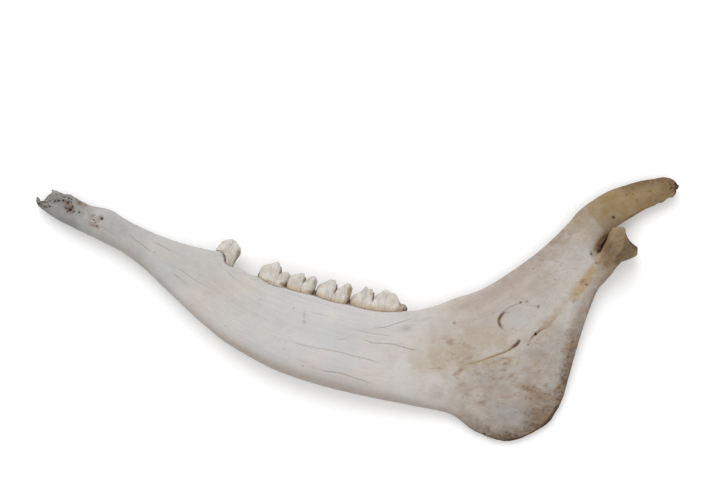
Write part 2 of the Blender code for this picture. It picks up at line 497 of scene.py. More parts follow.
@dataclass(frozen=True)
class Loft:
    """A closed skin through a row of stations."""

    stations: tuple[Station, ...]

    def skin(self, steps: int, around: int) -> Skin:
        """Draw the skin over the stations.

        Args:
            steps: Rings in each span.
            around: Points around each ring.

        Returns:
            The closed skin.
        """
        rows = [(*s.upper, *s.lower, s.thick, s.square, s.dish) for s in self.stations]
        table = cubic_rows(np.array(rows, dtype=float), steps)
        angle = np.linspace(0.0, 2.0 * math.pi, around, endpoint=False)
        power = 2.0 / table[:, 7:8]
        along = np.sign(np.cos(angle)) * np.abs(np.cos(angle)) ** power
        across = np.sign(np.sin(angle)) * np.abs(np.sin(angle)) ** power
        across = across * (1.0 - table[:, 8:9] * (1.0 - along**2))
        upper, lower = table[:, None, 0:3], table[:, None, 3:6]
        rings = lower + (upper - lower) * (0.5 + 0.5 * along)[..., None]
        rings[..., 2] += 0.5 * table[:, 6:7] * across
        return ring_skin(rings)


def loft(*rows: tuple) -> Loft:
    """A loft whose stations are given as rows."""
    return Loft(tuple(Station(*row) for row in rows))


def remove(item: Item) -> None:
    """Delete an object and its mesh."""
    mesh = item.data
    bpy.data.objects.remove(item, do_unlink=True)
    bpy.data.meshes.remove(mesh)


def settled(item: Item) -> Skin:
    """Delete an object and keep its shape.

    Args:
        item: The object, with its modifiers.

    Returns:
        Its shape after them.
    """
    graph = bpy.context.evaluated_depsgraph_get()
    shape = item.evaluated_get(graph)
    mesh = shape.to_mesh()
    flat = np.empty(len(mesh.vertices) * 3)
    mesh.vertices.foreach_get("co", flat)
    faces = [tuple(p.vertices) for p in mesh.polygons]
    shape.to_mesh_clear()
    remove(item)
    return Skin(flat.reshape(-1, 3) / MM, faces)


def fuse(skins: list[Skin], voxel: float) -> Skin:
    """One closed skin around several overlapping ones.

    Args:
        skins: Closed skins.
        voxel: Size of the new faces.

    Returns:
        An even mesh of quads.
    """
    points, faces, start = [], [], 0
    for skin in skins:
        points.append(skin.points)
        faces.extend(tuple(i + start for i in f) for f in skin.faces)
        start += len(skin.points)
    item = Skin(np.vstack(points), faces).to_object("fusing")
    remesh = item.modifiers.new("voxels", "REMESH")
    remesh.mode = "VOXEL"
    remesh.voxel_size = voxel * MM
    return settled(item)


def cut(skin: Skin, cutters: list[Skin]) -> Skin:
    """The skin with closed cutters taken out of it.

    Args:
        skin: The stock.
        cutters: Closed skins that overlap it.

    Returns:
        What is left.
    """
    item = skin.to_object("cut_stock")
    tools = [c.to_object("cutter") for c in cutters]
    for tool in tools:
        step = item.modifiers.new("cut", "BOOLEAN")
        step.operation = "DIFFERENCE"
        step.solver = "EXACT"
        step.object = tool
    result = settled(item)
    for tool in tools:
        remove(tool)
    return result


class Surface:
    """A skin that can be smoothed and pushed along its normals, with values painted on its points."""

    def __init__(self, skin: Skin) -> None:
        """Take over a skin and work out its edges."""
        self.points = skin.points.copy()
        self.faces = skin.faces
        self.paint: dict[str, Array] = {}
        self._link()

    def _link(self) -> None:
        """Work out the edges and the faces' first three corners."""
        pairs = set()
        for f in self.faces:
            for a, b in zip(f, f[1:] + f[:1]):
                pairs.add((a, b) if a < b else (b, a))
        self.edges = np.array(sorted(pairs))
        self.degree = np.bincount(self.edges.ravel(), minlength=len(self.points))
        corners = []
        for f in self.faces:
            for i in range(1, len(f) - 1):
                corners.append((f[0], f[i], f[i + 1]))
        self.triangles = np.array(corners)

    def normals(self) -> Array:
        """Unit normals of the points."""
        a, b, c = (self.points[self.triangles[:, i]] for i in range(3))
        normal = np.cross(b - a, c - a)
        total = np.zeros_like(self.points)
        for i in range(3):
            for axis in range(3):
                total[:, axis] += np.bincount(
                    self.triangles[:, i], weights=normal[:, axis], minlength=len(total)
                )
        return total / np.maximum(np.linalg.norm(total, axis=1, keepdims=True), 1e-12)

    def around(self, values: Array) -> Array:
        """The mean of the values at each point's neighbours.

        Args:
            values: One row for each point.

        Returns:
            The means, in the same shape.
        """
        flat = values.reshape(len(values), -1)
        total = np.zeros_like(flat, dtype=float)
        first, second = self.edges[:, 0], self.edges[:, 1]
        for axis in range(flat.shape[1]):
            total[:, axis] += np.bincount(first, weights=flat[second, axis], minlength=len(flat))
            total[:, axis] += np.bincount(second, weights=flat[first, axis], minlength=len(flat))
        return (total / self.degree[:, None]).reshape(values.shape)

    def smooth(self, rounds: int, weight: Array | float = 1.0, keep: bool = True) -> None:
        """Smooth the points, without shrinking them where keep is set.

        Args:
            rounds: How many times.
            weight: How strongly, from 0 to 1, for each point or for all.
            keep: Whether each round is followed by one that swells the skin back.
        """
        weight = np.broadcast_to(np.asarray(weight, dtype=float), (len(self.points),))[:, None]
        for _ in range(rounds):
            self.points += 0.55 * weight * (self.around(self.points) - self.points)
            if keep:
                self.points -= 0.57 * weight * (self.around(self.points) - self.points)

    def refine(self, chosen: Array) -> None:
        """Halve the faces whose points are all chosen.

        Args:
            chosen: Whether each point is chosen.
        """
        mesh = bmesh.new()
        for p in self.points:
            mesh.verts.new(p)
        mesh.verts.ensure_lookup_table()
        for f in self.faces:
            mesh.faces.new([mesh.verts[i] for i in f])
        mesh.verts.index_update()
        edges = [e for e in mesh.edges if chosen[e.verts[0].index] and chosen[e.verts[1].index]]
        bmesh.ops.subdivide_edges(mesh, edges=edges, cuts=1, use_grid_fill=True, smooth=0.3)
        mesh.verts.index_update()
        self.points = np.array([v.co[:] for v in mesh.verts])
        self.faces = [tuple(v.index for v in f.verts) for f in mesh.faces]
        mesh.free()
        self._link()

    def push(self, height: Array) -> None:
        """Move each point along its normal by a height."""
        self.points += self.normals() * height[:, None]

    def to_object(self, name: str) -> Item:
        """The finished object, smooth shaded, with the painted values as attributes."""
        item = Skin(self.points, self.faces).to_object(name)
        mesh = item.data
        for label, values in self.paint.items():
            kind, part = ("FLOAT_VECTOR", "vector") if values.ndim == 2 else ("FLOAT", "value")
            layer = mesh.attributes.new(label, kind, "POINT")
            layer.data.foreach_set(part, values.astype(np.float32).ravel())
        mesh.polygons.foreach_set("use_smooth", [True] * len(mesh.polygons))
        mesh.update()
        return item


class Nodes:
    """Short ways to add and join shader nodes in one tree."""

    def __init__(self, tree: Tree) -> None:
        """Work in that tree."""
        self.tree = tree

    def add(self, kind: str, **settings: object) -> bpy.types.Node:
        """A new node with its settings."""
        node = self.tree.nodes.new(kind)
        for name, value in settings.items():
            setattr(node, name, value)
        return node

    def feed(self, socket: Socket, source: object) -> None:
        """Link a socket, or set it where the source is a plain value."""
        if isinstance(source, Socket):
            self.tree.links.new(source, socket)
        else:
            socket.default_value = source

    def put(self, node: bpy.types.Node, values: dict[str, object]) -> bpy.types.Node:
        """Feed a node's inputs by name and hand it back."""
        for label, value in values.items():
            self.feed(node.inputs[label], value)
        return node

    def join(self, kind: str, *sources: object, **settings: object) -> bpy.types.NodeOutputs:
        """The outputs of a new node whose first inputs are fed in order."""
        node = self.add(kind, **settings)
        for place, source in enumerate(sources):
            self.feed(node.inputs[place], source)
        return node.outputs

    def math(self, operation: str, a: object, b: object = 0.0, clamp: bool = False) -> Socket:
        """The result of one sum."""
        return self.join("ShaderNodeMath", a, b, operation=operation, use_clamp=clamp)[0]

    def times(self, a: object, b: object, clamp: bool = False) -> Socket:
        """The product of two values."""
        return self.math("MULTIPLY", a, b, clamp)

    def span(self, value: object, low: float, high: float, out_low: float = 0.0,
             out_high: float = 1.0) -> Socket:
        """A value mapped smoothly from one range to another."""
        values = {"Value": value, "From Min": low, "From Max": high, "To Min": out_low, "To Max": out_high}
        return self.put(self.add("ShaderNodeMapRange", interpolation_type="SMOOTHSTEP"), values).outputs[0]

    def mix(self, factor: object, a: object, b: object, blend: str = "MIX") -> Socket:
        """A mix of two colours."""
        node = self.add("ShaderNodeMix", data_type="RGBA", blend_type=blend)
        self.feed(node.inputs[0], factor)
        self.feed(node.inputs[6], a)
        self.feed(node.inputs[7], b)
        return node.outputs[2]

    def noise(self, place: object, scale: float, detail: float = 3.0, rough: float = 0.55) -> Socket:
        """A smooth random value."""
        values = {"Vector": place, "Scale": scale, "Detail": detail, "Roughness": rough}
        return self.put(self.add("ShaderNodeTexNoise", noise_dimensions="3D"), values).outputs["Fac"]

    def cells(self, place: object, scale: float) -> Socket:
        """Distance from the nearest scattered spot."""
        node = self.add("ShaderNodeTexVoronoi", voronoi_dimensions="3D", feature="F1")
        return self.put(node, {"Vector": place, "Scale": scale}).outputs["Distance"]

    def stretch(self, place: object, scale: Triple, shift: Triple = (0.0, 0.0, 0.0)) -> Socket:
        """A place multiplied and shifted axis by axis."""
        values = {"Vector": place, "Scale": scale, "Location": shift}
        return self.put(self.add("ShaderNodeMapping"), values).outputs[0]

    def attribute(self, name: str, vector: bool = False) -> Socket:
        """A value painted on the mesh."""
        node = self.add("ShaderNodeAttribute", attribute_name=name)
        return node.outputs["Vector" if vector else "Fac"]

    def in_millimetres(self) -> Socket:
        """The place on the object."""
        return self.stretch(self.add("ShaderNodeTexCoord").outputs["Object"], (1.0 / MM, 1.0 / MM, 1.0 / MM))

    def grey_tint(self, value: object, low: float, high: float, dark: Pair, light: float) -> Socket:
        """A tint that goes from a dark one, a little deeper in each next channel, to a light one."""
        channels = [self.span(value, low, high, dark[0] - dark[1] * axis, light) for axis in range(3)]
        return self.join("ShaderNodeCombineColor", *channels, mode="RGB")[0]

    def bump(self, height: object, strength: float, distance: float) -> Socket:
        """The normal of a surface raised by a height."""
        values = {"Height": height, "Strength": strength, "Distance": distance}
        return self.put(self.add("ShaderNodeBump"), values).outputs[0]

    def group(self, tree: Tree, **values: object) -> Socket:
        """The mask of a group whose inputs are fed by name."""
        return self.put(self.add("ShaderNodeGroup", node_tree=tree), values).outputs["Mask"]


def mask_group(name: str, **values: float) -> Tree:
    """An empty shader node group that turns a place and some values into a mask.

    Args:
        name: The group's name.
        values: Name and starting value of each input beside the place.

    Returns:
        The group, with its input and output nodes in place.
    """
    tree = bpy.data.node_groups.new(name, "ShaderNodeTree")
    tree.interface.new_socket("Place", in_out="INPUT", socket_type="NodeSocketVector")
    for label, value in values.items():
        tree.interface.new_socket(label, in_out="INPUT", socket_type="NodeSocketFloat").default_value = value
    tree.interface.new_socket("Mask", in_out="OUTPUT", socket_type="NodeSocketFloat")
    tree.nodes.new("NodeGroupInput").name = "in"
    tree.nodes.new("NodeGroupOutput").name = "out"
    return tree


@dataclass(frozen=True)
class SharedEffects:
    """Node groups that the bone and tooth materials share."""

    hairlines: Tree
    speckle: Tree

    @classmethod
    def build(cls) -> "SharedEffects":
        """Make each group once."""
        return cls(cls._hairlines(), cls._speckle())

    @staticmethod
    def _hairlines() -> Tree:
        """Thin broken lines that run along the first axis of a place given in millimetres."""
        tree = mask_group("hairlines", Spacing=7.0, Width=0.05, Share=0.5)
        n = Nodes(tree)
        source = tree.nodes["in"].outputs
        wander = n.noise(n.stretch(source["Place"], (0.03, 0.09, 0.05)), 1.0, 2.0)
        x, y, z = n.join("ShaderNodeSeparateXYZ", source["Place"])
        rows = n.math("DIVIDE", n.math("ADD", y, n.times(wander, 9.0)), source["Spacing"])
        drawn = n.join("ShaderNodeCombineXYZ", n.times(x, 0.012), rows, n.times(z, 0.05))
        height = n.noise(drawn[0], 1.0, 2.5, 0.6)
        level = n.math("ABSOLUTE", n.math("SUBTRACT", height, 0.5))
        line = n.math("SUBTRACT", 1.0, n.math("DIVIDE", level, source["Width"], clamp=True), clamp=True)
        gaps = n.noise(n.stretch(source["Place"], (0.022, 0.12, 0.1), (31.0, 7.0, 3.0)), 1.0, 1.0)
        edge = n.math("SUBTRACT", 1.0, source["Share"])
        least = n.math("ADD", n.times(edge, 0.4), 0.5)
        present = n.times(n.math("SUBTRACT", gaps, least), 9.0, clamp=True)
        n.feed(tree.nodes["out"].inputs["Mask"], n.times(line, present))
        return tree

    @staticmethod
    def _speckle() -> Tree:
        """Scattered dark specks of uneven size at a place given in millimetres."""
        tree = mask_group("speckle", Spacing=5.0, Size=0.16)
        n = Nodes(tree)
        source = tree.nodes["in"].outputs
        spacing = n.join("ShaderNodeCombineXYZ", *[source["Spacing"]] * 3)[0]
        scaled = n.join("ShaderNodeVectorMath", source["Place"], spacing, operation="DIVIDE")[0]
        near = n.cells(scaled, 1.0)
        vary = n.times(n.noise(scaled, 0.6, 1.0), 2.0)
        reach = n.times(source["Size"], n.times(vary, vary))
        spot = n.math("SUBTRACT", 1.0, n.math("DIVIDE", near, reach, clamp=True), clamp=True)
        n.feed(tree.nodes["out"].inputs["Mask"], spot)
        return tree


def start_material(name: str) -> tuple[bpy.types.Material, Nodes, bpy.types.Node]:
    """A new node material, its builder and its Principled shader.

    Args:
        name: The material's name.

    Returns:
        The material, its builder and the shader.
    """
    material = bpy.data.materials.new(name)
    material.use_nodes = True
    material.node_tree.nodes.clear()
    n = Nodes(material.node_tree)
    shader = n.add("ShaderNodeBsdfPrincipled")
    out = n.add("ShaderNodeOutputMaterial")
    n.feed(out.inputs["Surface"], shader.outputs[0])
    return material, n, shader


@dataclass(frozen=True)
class BoneFinish:
    """Dry weathered bone, pale and warm, with stains and painted shade where the mesh is painted for them."""

    pale: Colour = (0.507, 0.486, 0.463, 1.0)
    cool: Colour = (0.465, 0.469, 0.471, 1.0)
    warm: Colour = (0.515, 0.457, 0.403, 1.0)
    grey: Colour = (0.185, 0.184, 0.178, 1.0)
    dusk: Colour = (0.275, 0.228, 0.185, 1.0)
    # Painted shade on the faces that turn down the jaw
    shade: Colour = (0.31, 0.262, 0.225, 1.0)
    # Pink-brown painted shade behind the ramus crest
    rose_shade: Colour = (0.335, 0.252, 0.21, 1.0)
    tan: Colour = (0.233, 0.158, 0.069, 1.0)
    gold: Colour = (0.33, 0.225, 0.10, 1.0)
    brown: Colour = (0.095, 0.057, 0.03, 1.0)
    rust: Colour = (0.185, 0.1, 0.048, 1.0)
    chalk: Colour = (0.305, 0.303, 0.298, 1.0)
    # Grime and painted shade
    dirt_and_shade: Colour = (0.04, 0.02, 0.01, 1.0)
    # Cracks, grooves and painted shadow lines
    crack_and_shadow: Colour = (0.19, 0.115, 0.06, 1.0)
    stain: Colour = (0.25, 0.172, 0.108, 1.0)
    roughness: float = 0.75

    def material(self, effects: SharedEffects) -> bpy.types.Material:
        """The bone material.

        Args:
            effects: The shared node groups.

        Returns:
            The material.
        """
        material, n, shader = start_material("dry_bone")
        flow = n.attribute("flow", vector=True)
        spot = n.in_millimetres()
        zone = {z: n.attribute(z.value) for z in Zone}

        clouds = n.noise(spot, 0.022, 3.0)
        colour = n.mix(n.span(clouds, 0.38, 0.62), self.cool, self.pale)
        blush = n.noise(n.stretch(spot, (0.012, 0.03, 0.03), (5.0, 2.0, 0.0)), 1.0, 3.0)
        colour = n.mix(n.span(blush, 0.46, 0.74, 0.0, 0.6), colour, self.warm)

        mottle = n.noise(spot, 0.14, 4.0, 0.62)
        fine = n.noise(spot, 0.7, 3.0, 0.6)
        crumbs = n.noise(n.stretch(spot, (0.8, 1.0, 1.0), (7.0, 1.0, 4.0)), 0.42, 4.0, 0.66)
        # The shade and pink stains are painted shade; grey and brown carry some painted shade too
        for name, stain, uneven, grain in (
            (Zone.DUSK, self.dusk, 0.25, mottle), (Zone.SHADE, self.shade, 0.15, mottle),
            (Zone.GREY, self.grey, 0.25, mottle), (Zone.ROSE_SHADE, self.rose_shade, 0.12, mottle),
            (Zone.TAN, self.tan, 0.13, mottle), (Zone.GOLD, self.gold, 0.4, mottle),
            (Zone.RUST, self.rust, 0.7, crumbs), (Zone.BROWN, self.brown, 0.5, crumbs),
        ):
            colour = self._stain(n, colour, zone[name], grain, stain, uneven)

        veins = n.noise(n.stretch(spot, (0.5, 1.0, 1.0), (3.0, 8.0, 1.0)), 0.17, 5.0, 0.62)
        drift = n.noise(n.stretch(spot, (1.0, 1.0, 1.0), (31.0, 5.0, 0.0)), 0.05, 2.0)
        area = n.times(zone[Zone.DUSK], n.span(drift, 0.4, 0.6, 0.2, 1.0))
        colour = n.mix(n.times(area, n.span(veins, 0.48, 0.7, 0.0, 0.6)), colour, self.stain)
        colour = n.mix(n.times(area, n.span(crumbs, 0.54, 0.68, 0.0, 0.5)), colour, self.rust)
        colour = n.mix(n.times(zone[Zone.DUSK], n.span(veins, 0.46, 0.3, 0.0, 0.3)), colour, self.cool)
        colour = self._stain(n, colour, zone[Zone.CHALK], veins, self.chalk, 0.7)
        grit = n.noise(spot, 1.1, 4.0, 0.7)
        colour = n.mix(0.8, colour, n.grey_tint(grit, 0.3, 0.7, (0.92, 0.01), 1.05), "MULTIPLY")

        streaks = n.noise(n.stretch(flow, (0.05, 1.0, 1.0)), 0.6, 4.0, 0.65)
        patchy = n.noise(n.stretch(flow, (0.04, 0.12, 0.12), (9.0, 3.0, 0.0)), 1.0, 2.0)
        streaks = n.times(n.math("SUBTRACT", streaks, 0.5), n.span(patchy, 0.35, 0.65, 0.35, 1.0))
        colour = n.mix(0.65, colour, n.grey_tint(streaks, -0.22, 0.16, (0.9, 0.02), 1.02), "MULTIPLY")

        lines = n.group(effects.hairlines, Place=flow, Spacing=8.0, Width=0.022, Share=0.62)
        threads = n.group(effects.hairlines, Place=flow, Spacing=3.1, Width=0.05, Share=0.5)
        cracks_and_shadow_lines = n.math("MAXIMUM", n.times(lines, 0.6), n.times(threads, 0.28))
        # The seam lines include painted shadow lines at the crowns' margin and the foramen's crescent
        across = n.math("ABSOLUTE", n.attribute("seam"))
        seams = n.times(n.span(across, 0.25, 1.0, 1.0, 0.0), n.attribute("seam_tone"))
        seams = n.times(seams, n.span(fine, 0.25, 0.5, 0.75, 1.0))
        cracks_and_shadow_lines = n.math("MAXIMUM", cracks_and_shadow_lines, seams)
        colour = n.mix(cracks_and_shadow_lines, colour, self.crack_and_shadow)

        specks = n.group(effects.speckle, Place=spot, Spacing=7.5, Size=0.075)
        pores = n.group(effects.speckle, Place=spot, Spacing=1.7, Size=0.17)
        rough_zone = n.math("ADD", zone[Zone.BROWN], n.times(zone[Zone.GREY], 0.5), clamp=True)
        dots = n.math("MAXIMUM", n.times(specks, 0.5), n.times(n.times(pores, rough_zone), 0.5))
        colour = n.mix(dots, colour, self.brown)
        # Last, grime and painted shade darken hollows, grooves, holes, breaks and the notch
        colour = n.mix(n.math("MINIMUM", zone[Zone.DIRT_AND_SHADE], 1.0), colour, self.dirt_and_shade)
        n.feed(shader.inputs["Base Color"], colour)

        rough = n.math("ADD", n.span(fine, 0.3, 0.7, -0.06, 0.08), self.roughness)
        n.feed(shader.inputs["Roughness"], rough)
        n.put(shader, {"Specular IOR Level": 0.06, "Subsurface Weight": 0.05, "Subsurface Scale": 0.002,
                       "Subsurface Radius": (1.0, 0.75, 0.55)})

        height = n.math("ADD", streaks, n.times(fine, 0.4))
        height = n.math("SUBTRACT", height, n.times(cracks_and_shadow_lines, 1.2))
        height = n.math("SUBTRACT", height, n.times(dots, 0.9))
        n.feed(shader.inputs["Normal"], n.bump(height, 0.3, 0.0005))
        return material

    @staticmethod
    def _stain(n: Nodes, colour: object, mask: object, mottle: object, stain: Colour,
               uneven: float) -> Socket:
        """Lay one stain over a colour, thinner where the mottle is low."""
        amount = n.times(mask, n.span(mottle, 0.3, 0.68, 1.0 - uneven, 1.0), clamp=True)
        return n.mix(amount, colour, stain)


@dataclass(frozen=True)
class EnamelFinish:
    """Worn enamel with a yellowed neck, brown dentine, and grime with painted shade between the teeth."""

    enamel: Colour = (0.555, 0.53, 0.49, 1.0)
    # Darker enamel: random tone, and painted shade in the grooves between the folds
    shade: Colour = (0.365, 0.325, 0.28, 1.0)
    neck: Colour = (0.41, 0.32, 0.215, 1.0)
    # Brown dentine, and painted shade in the notches between lobes and on a root
    worn_and_shade: Colour = (0.17, 0.105, 0.055, 1.0)
    golden: Colour = (0.33, 0.21, 0.075, 1.0)
    # Grime and painted shade between the teeth and along the crowns' base
    dirt_and_shade: Colour = (0.075, 0.032, 0.012, 1.0)
    roughness: float = 0.38

    def material(self, effects: SharedEffects) -> bpy.types.Material:
        """The tooth material.

        Args:
            effects: The shared node groups.

        Returns:
            The material.
        """
        material, n, shader = start_material("tooth_enamel")
        place = n.attribute("crown", vector=True)
        spot = n.in_millimetres()
        zone = {z: n.attribute(z.value) for z in ToothZone}
        clouds = n.noise(spot, 0.2, 3.0)
        # The folds paint the ribs lighter and the grooves darker: painted highlight and painted shade
        folds = n.noise(n.stretch(place, (0.27, 0.1, 0.2)), 1.0, 2.0, 0.45)
        pale = n.math("ADD", n.span(clouds, 0.35, 0.65, 0.25, 0.75), n.span(folds, 0.4, 0.6, 0.0, 0.22))
        colour = n.mix(pale, self.shade, self.enamel)
        warmth = n.noise(n.stretch(spot, (1.0, 1.0, 1.0), (3.0, 9.0, 2.0)), 0.13, 2.0)
        colour = n.mix(n.span(warmth, 0.5, 0.72, 0.0, 0.3), colour, self.neck)
        mottle = n.noise(spot, 0.6, 4.0, 0.65)
        # The wear and grime zones also hold painted shade in the notches, at the gaps and along the base
        for name, stain, uneven in ((ToothZone.NECK, self.neck, 0.45), (ToothZone.GOLD, self.golden, 0.3),
                                    (ToothZone.WORN_AND_SHADE, self.worn_and_shade, 0.4), (ToothZone.DIRT_AND_SHADE, self.dirt_and_shade, 0.35)):
            amount = n.times(zone[name], n.span(mottle, 0.25, 0.62, 1.0 - uneven, 1.0), clamp=True)
            colour = n.mix(amount, colour, stain)
        lines = n.group(effects.hairlines, Place=place, Spacing=2.5, Width=0.03, Share=0.3)
        colour = n.mix(n.times(lines, 0.04), colour, self.worn_and_shade)
        n.feed(shader.inputs["Base Color"], colour)
        rough = n.math("ADD", n.times(zone[ToothZone.NECK], 0.15), self.roughness)
        n.feed(shader.inputs["Roughness"], n.math("ADD", rough, n.times(zone[ToothZone.WORN_AND_SHADE], 0.2)))
        n.put(shader, {"Specular IOR Level": 0.4, "Subsurface Weight": 0.08, "Subsurface Scale": 0.0015})
        height = n.math("ADD", n.times(folds, 0.2), n.times(mottle, 0.6))
        height = n.math("SUBTRACT", height, n.times(lines, 0.4))
        n.feed(shader.inputs["Normal"], n.bump(height, 0.3, 0.0004))
        return material


# The jaw from its broken front end along the tooth row to the top of the ramus
BODY = loft(
    ((-235.5, 93.5, 9), (-248, 81.5, 9), 12, 2.6),
    ((-231.5, 90, 9), (-244.5, 78.5, 9), 13, 2.6),
    ((-220, 86, 9.4), (-232, 69.4, 9.4), 19, 2.5, 0.05),
    ((-204, 78, 10.4), (-216, 60.8, 10.4), 20, 2.4, 0.05),
    ((-188, 74.3, 12), (-200, 53.2, 11.5), 19, 2.2),
    ((-179, 68.7, 12.5), (-189, 47.5, 12), 18.4, 2.15),
    ((-168, 62.5, 13), (-177, 41, 13), 18, 2.1),
    ((-150, 54.3, 14.5), (-161, 28.9, 14), 17, 2.1),
    ((-131, 47.7, 15.5), (-143, 11.8, 15), 18, 2.1),
    ((-110, 42.4, 16.5), (-123, -7, 15), 21, 2.2),
    ((-98, 39.2, 17), (-113, -15.7, 15), 23, 2.4),
    ((-83, 26.5, 17.5), (-98, -27.5, 15), 24.5, 2.6),
    ((-56, 15.5, 17.5), (-70, -43.5, 15), 26, 2.7),
    ((-34, 8.5, 17.5), (-48, -52.5, 15), 27, 2.7),
    ((-9, 2.5, 17), (-21, -60.5, 14.5), 27, 2.7),
    ((14, -2, 16.5), (7, -67, 13.5), 25, 2.6),
    ((39, -3, 14.8), (38, -73, 11), 21, 2.6, 0.05),
    ((58, 1.5, 13), (64, -78, 8.2), 17, 2.8, 0.15),
    ((65.5, 4.4, 12.4), (74.5, -83.2, 6.8), 15, 3, 0.22),
    ((73, 7.3, 12), (88, -92.7, 5.1), 13.5, 3.2, 0.3),
    ((90, 12.7, 11), (113, -99.5, 3.8), 12, 3.4, 0.38),
    ((105, 21, 11), (138.2, -88.6, 4), 12, 3.4, 0.4),
    ((112.5, 25.8, 11), (147.3, -78, 4.4), 12, 3.4, 0.4),
    ((120, 31, 11), (153.2, -66, 5.2), 12, 3.4, 0.4),
    ((135, 42, 11.5), (160.5, -41, 8), 12, 3.2, 0.38),
    ((149, 54.5, 12), (168.5, -15, 10), 12, 3, 0.3),
    ((160, 66, 12), (177, 7.5, 12), 12.5, 2.8, 0.2),
    ((164, 70, 12), (182, 17, 12.5), 13, 2.6, 0.1),
)

# The blade in front of the notch
CORONOID = loft(
    ((152, 54, 12), (168, 30, 12), 9, 2.4),
    ((164, 71, 12), (178.5, 39.2, 12), 12, 2.5, 0.05),
    ((178, 82, 12), (185.6, 50, 12), 11, 2.5),
    ((190, 89, 12), (195, 61.2, 12), 9, 2.3),
    ((203, 93.5, 11), (207.5, 69, 11), 8.5, 2.3),
    ((216, 97.2, 10), (217, 74.7, 10), 8, 2.2),
    ((226, 98.8, 9.5), (226.5, 78.6, 9.5), 7.5, 2.2),
    ((236, 100.5, 9), (234.5, 78.6, 9), 7, 2.3),
    ((248, 99, 9), (243, 79, 9), 6, 2.4),
)

# The neck behind the notch
NECK = loft(
    ((164, 35, 12.5), (174, 8, 12.5), 9, 2.3),
    ((177.8, 39.6, 14), (186, 20, 13), 15, 2.3),
    ((182.2, 44.6, 18), (192, 27.5, 16.5), 24, 2.5),
    ((186, 49.8, 21.5), (197.8, 34, 19.5), 34, 2.9),
    ((189.5, 54, 22.5), (201, 37.8, 20.5), 38, 3),
)

# The joint head from its outer pole on the floor to its inner pole
HEAD = (
    Level(0, ((198.8, 46), (201.5, 46.4), (203.6, 45.2), (205.2, 43.8), (206.2, 42), (205.6, 39.6),
              (203, 37.6), (199.4, 37.6), (196.9, 40.6), (197.2, 44))),
    Level(4, ((197.5, 49.5), (201.3, 50), (204, 48.4), (206.4, 46.8), (209.4, 45), (208.8, 40.4),
              (203.4, 36.8), (198, 36.6), (195.6, 41), (196, 46))),
    Level(11, ((196, 53), (200.5, 53.4), (203, 51.3), (206.2, 48.3), (210.9, 46.2), (210.4, 39.4),
               (203.2, 35.6), (195.5, 35.2), (193, 41.5), (193.8, 48.5))),
    Level(18, ((195.2, 55.6), (199.6, 56.4), (201.4, 54), (203.9, 49.6), (209, 45.2), (208.6, 38.6),
               (200.2, 34.2), (191, 33), (189, 41), (191.6, 49.6))),
    Level(26, ((190.4, 57.8), (198.2, 58), (199.9, 55.2), (201.3, 50.8), (204.6, 46.2), (203.4, 39.6),
               (197, 33.8), (189.5, 33.2), (183.6, 41), (186.4, 51.5))),
    Level(33, ((189.2, 57.6), (197.3, 57.6), (198.7, 54.4), (199.7, 50), (200.4, 45), (198.4, 39.4),
               (194, 36.2), (189.2, 36.8), (184.2, 43.4), (185.4, 51.8))),
    Level(40, ((188.6, 56.4), (196, 56.6), (197.3, 53.6), (197, 49.5), (196, 45), (194.4, 41),
               (192, 39.6), (189.3, 41.2), (186.2, 46), (185.8, 52))),
    Level(43, ((190.6, 54.4), (194.8, 54.6), (196.2, 52.5), (196, 49.2), (195, 46.2), (193.8, 44),
               (192.2, 43.2), (190.6, 44.6), (189.6, 47.5), (189.5, 51))),
)

# The ridge on the joint head, from its top down to the neck
HEAD_RIDGE = ((197.6, 54.5), (196.6, 51), (195.2, 42), (188.6, 33), (180, 22))

# How far the bone's grain runs on past the body's last station, as upper and lower edge
GRAIN_BEYOND = (
    ((190, 89), (200, 34)),
    ((216, 98), (214, 44)),
    ((245, 97), (236, 56)),
)

# What is broken off beyond the front end and beyond the coronoid's tip
FRONT_BREAK = (
    (-229.5, 92.5), (-232.1, 89.8), (-233.7, 88.9), (-233.3, 86.8), (-233, 85.1), (-234.9, 84.9),
    (-235.9, 83.5), (-237.8, 81.3), (-238.8, 79.6), (-242, 79.6), (-242.6, 81.3), (-243.3, 82.9),
    (-244.5, 82.9), (-245.2, 81), (-245.1, 78.9), (-243.7, 76.7), (-240.9, 74.4), (-246, 66),
    (-262, 80), (-246, 104), (-228, 104),
)
CORONOID_BREAK = (
    (228, 100.6), (235.9, 99.4), (238.1, 98.7), (240.4, 96.6), (241.7, 95.3), (242.2, 94.1), (243.7, 93),
    (243.3, 91.4), (241.3, 90.1), (241.5, 88), (240.9, 86.1), (238.9, 84.3), (237.4, 84.7), (235.5, 83.9),
    (233.2, 82.2), (231.6, 80.5), (229.3, 80.3), (225.9, 79), (224, 70), (254, 70), (254, 108),
    (228, 108),
)
# What is cut out behind the first tooth, and the slot of the notch with its bevelled rim and its floor
SOCKET_STEP = (
    (-100.9, 40.6), (-100.3, 37.6), (-99.6, 33.9), (-98.4, 30.3), (-94.7, 29.2), (-89.5, 28.9), (-87.6, 28.2),
    (-84.2, 25.4), (-79, 23), (-75.5, 22.4), (-75.5, 52), (-101.2, 52),
)
NOTCH_SLOT = (
    (192.3, 42.2), (192.1, 44.2), (193.2, 47.2), (195, 50.4), (197.4, 53.3), (199.2, 55.4), (201.5, 55.2),
    (205.9, 58.6), (209.3, 62.3), (214.3, 66), (224, 66), (215, 56), (204.3, 52), (200.3, 55),
    (200.4, 52.9), (199.6, 49.5), (197, 45.7), (195.3, 43.2), (193.9, 41.9),
)
SLOT_RIM = ((178.4, 41.2), (178.9, 44.4), (181.6, 48.3), (184.9, 52.2), (188.6, 55.9))
# The slot's floor is a low web of bone, painted grey and brown as shade deep in the slot
SLOT_FLOOR = (
    (176, 37), (183, 37), (189.5, 43), (193.5, 51), (194.2, 58.8), (190.5, 59.5), (184, 55),
    (179, 47),
)

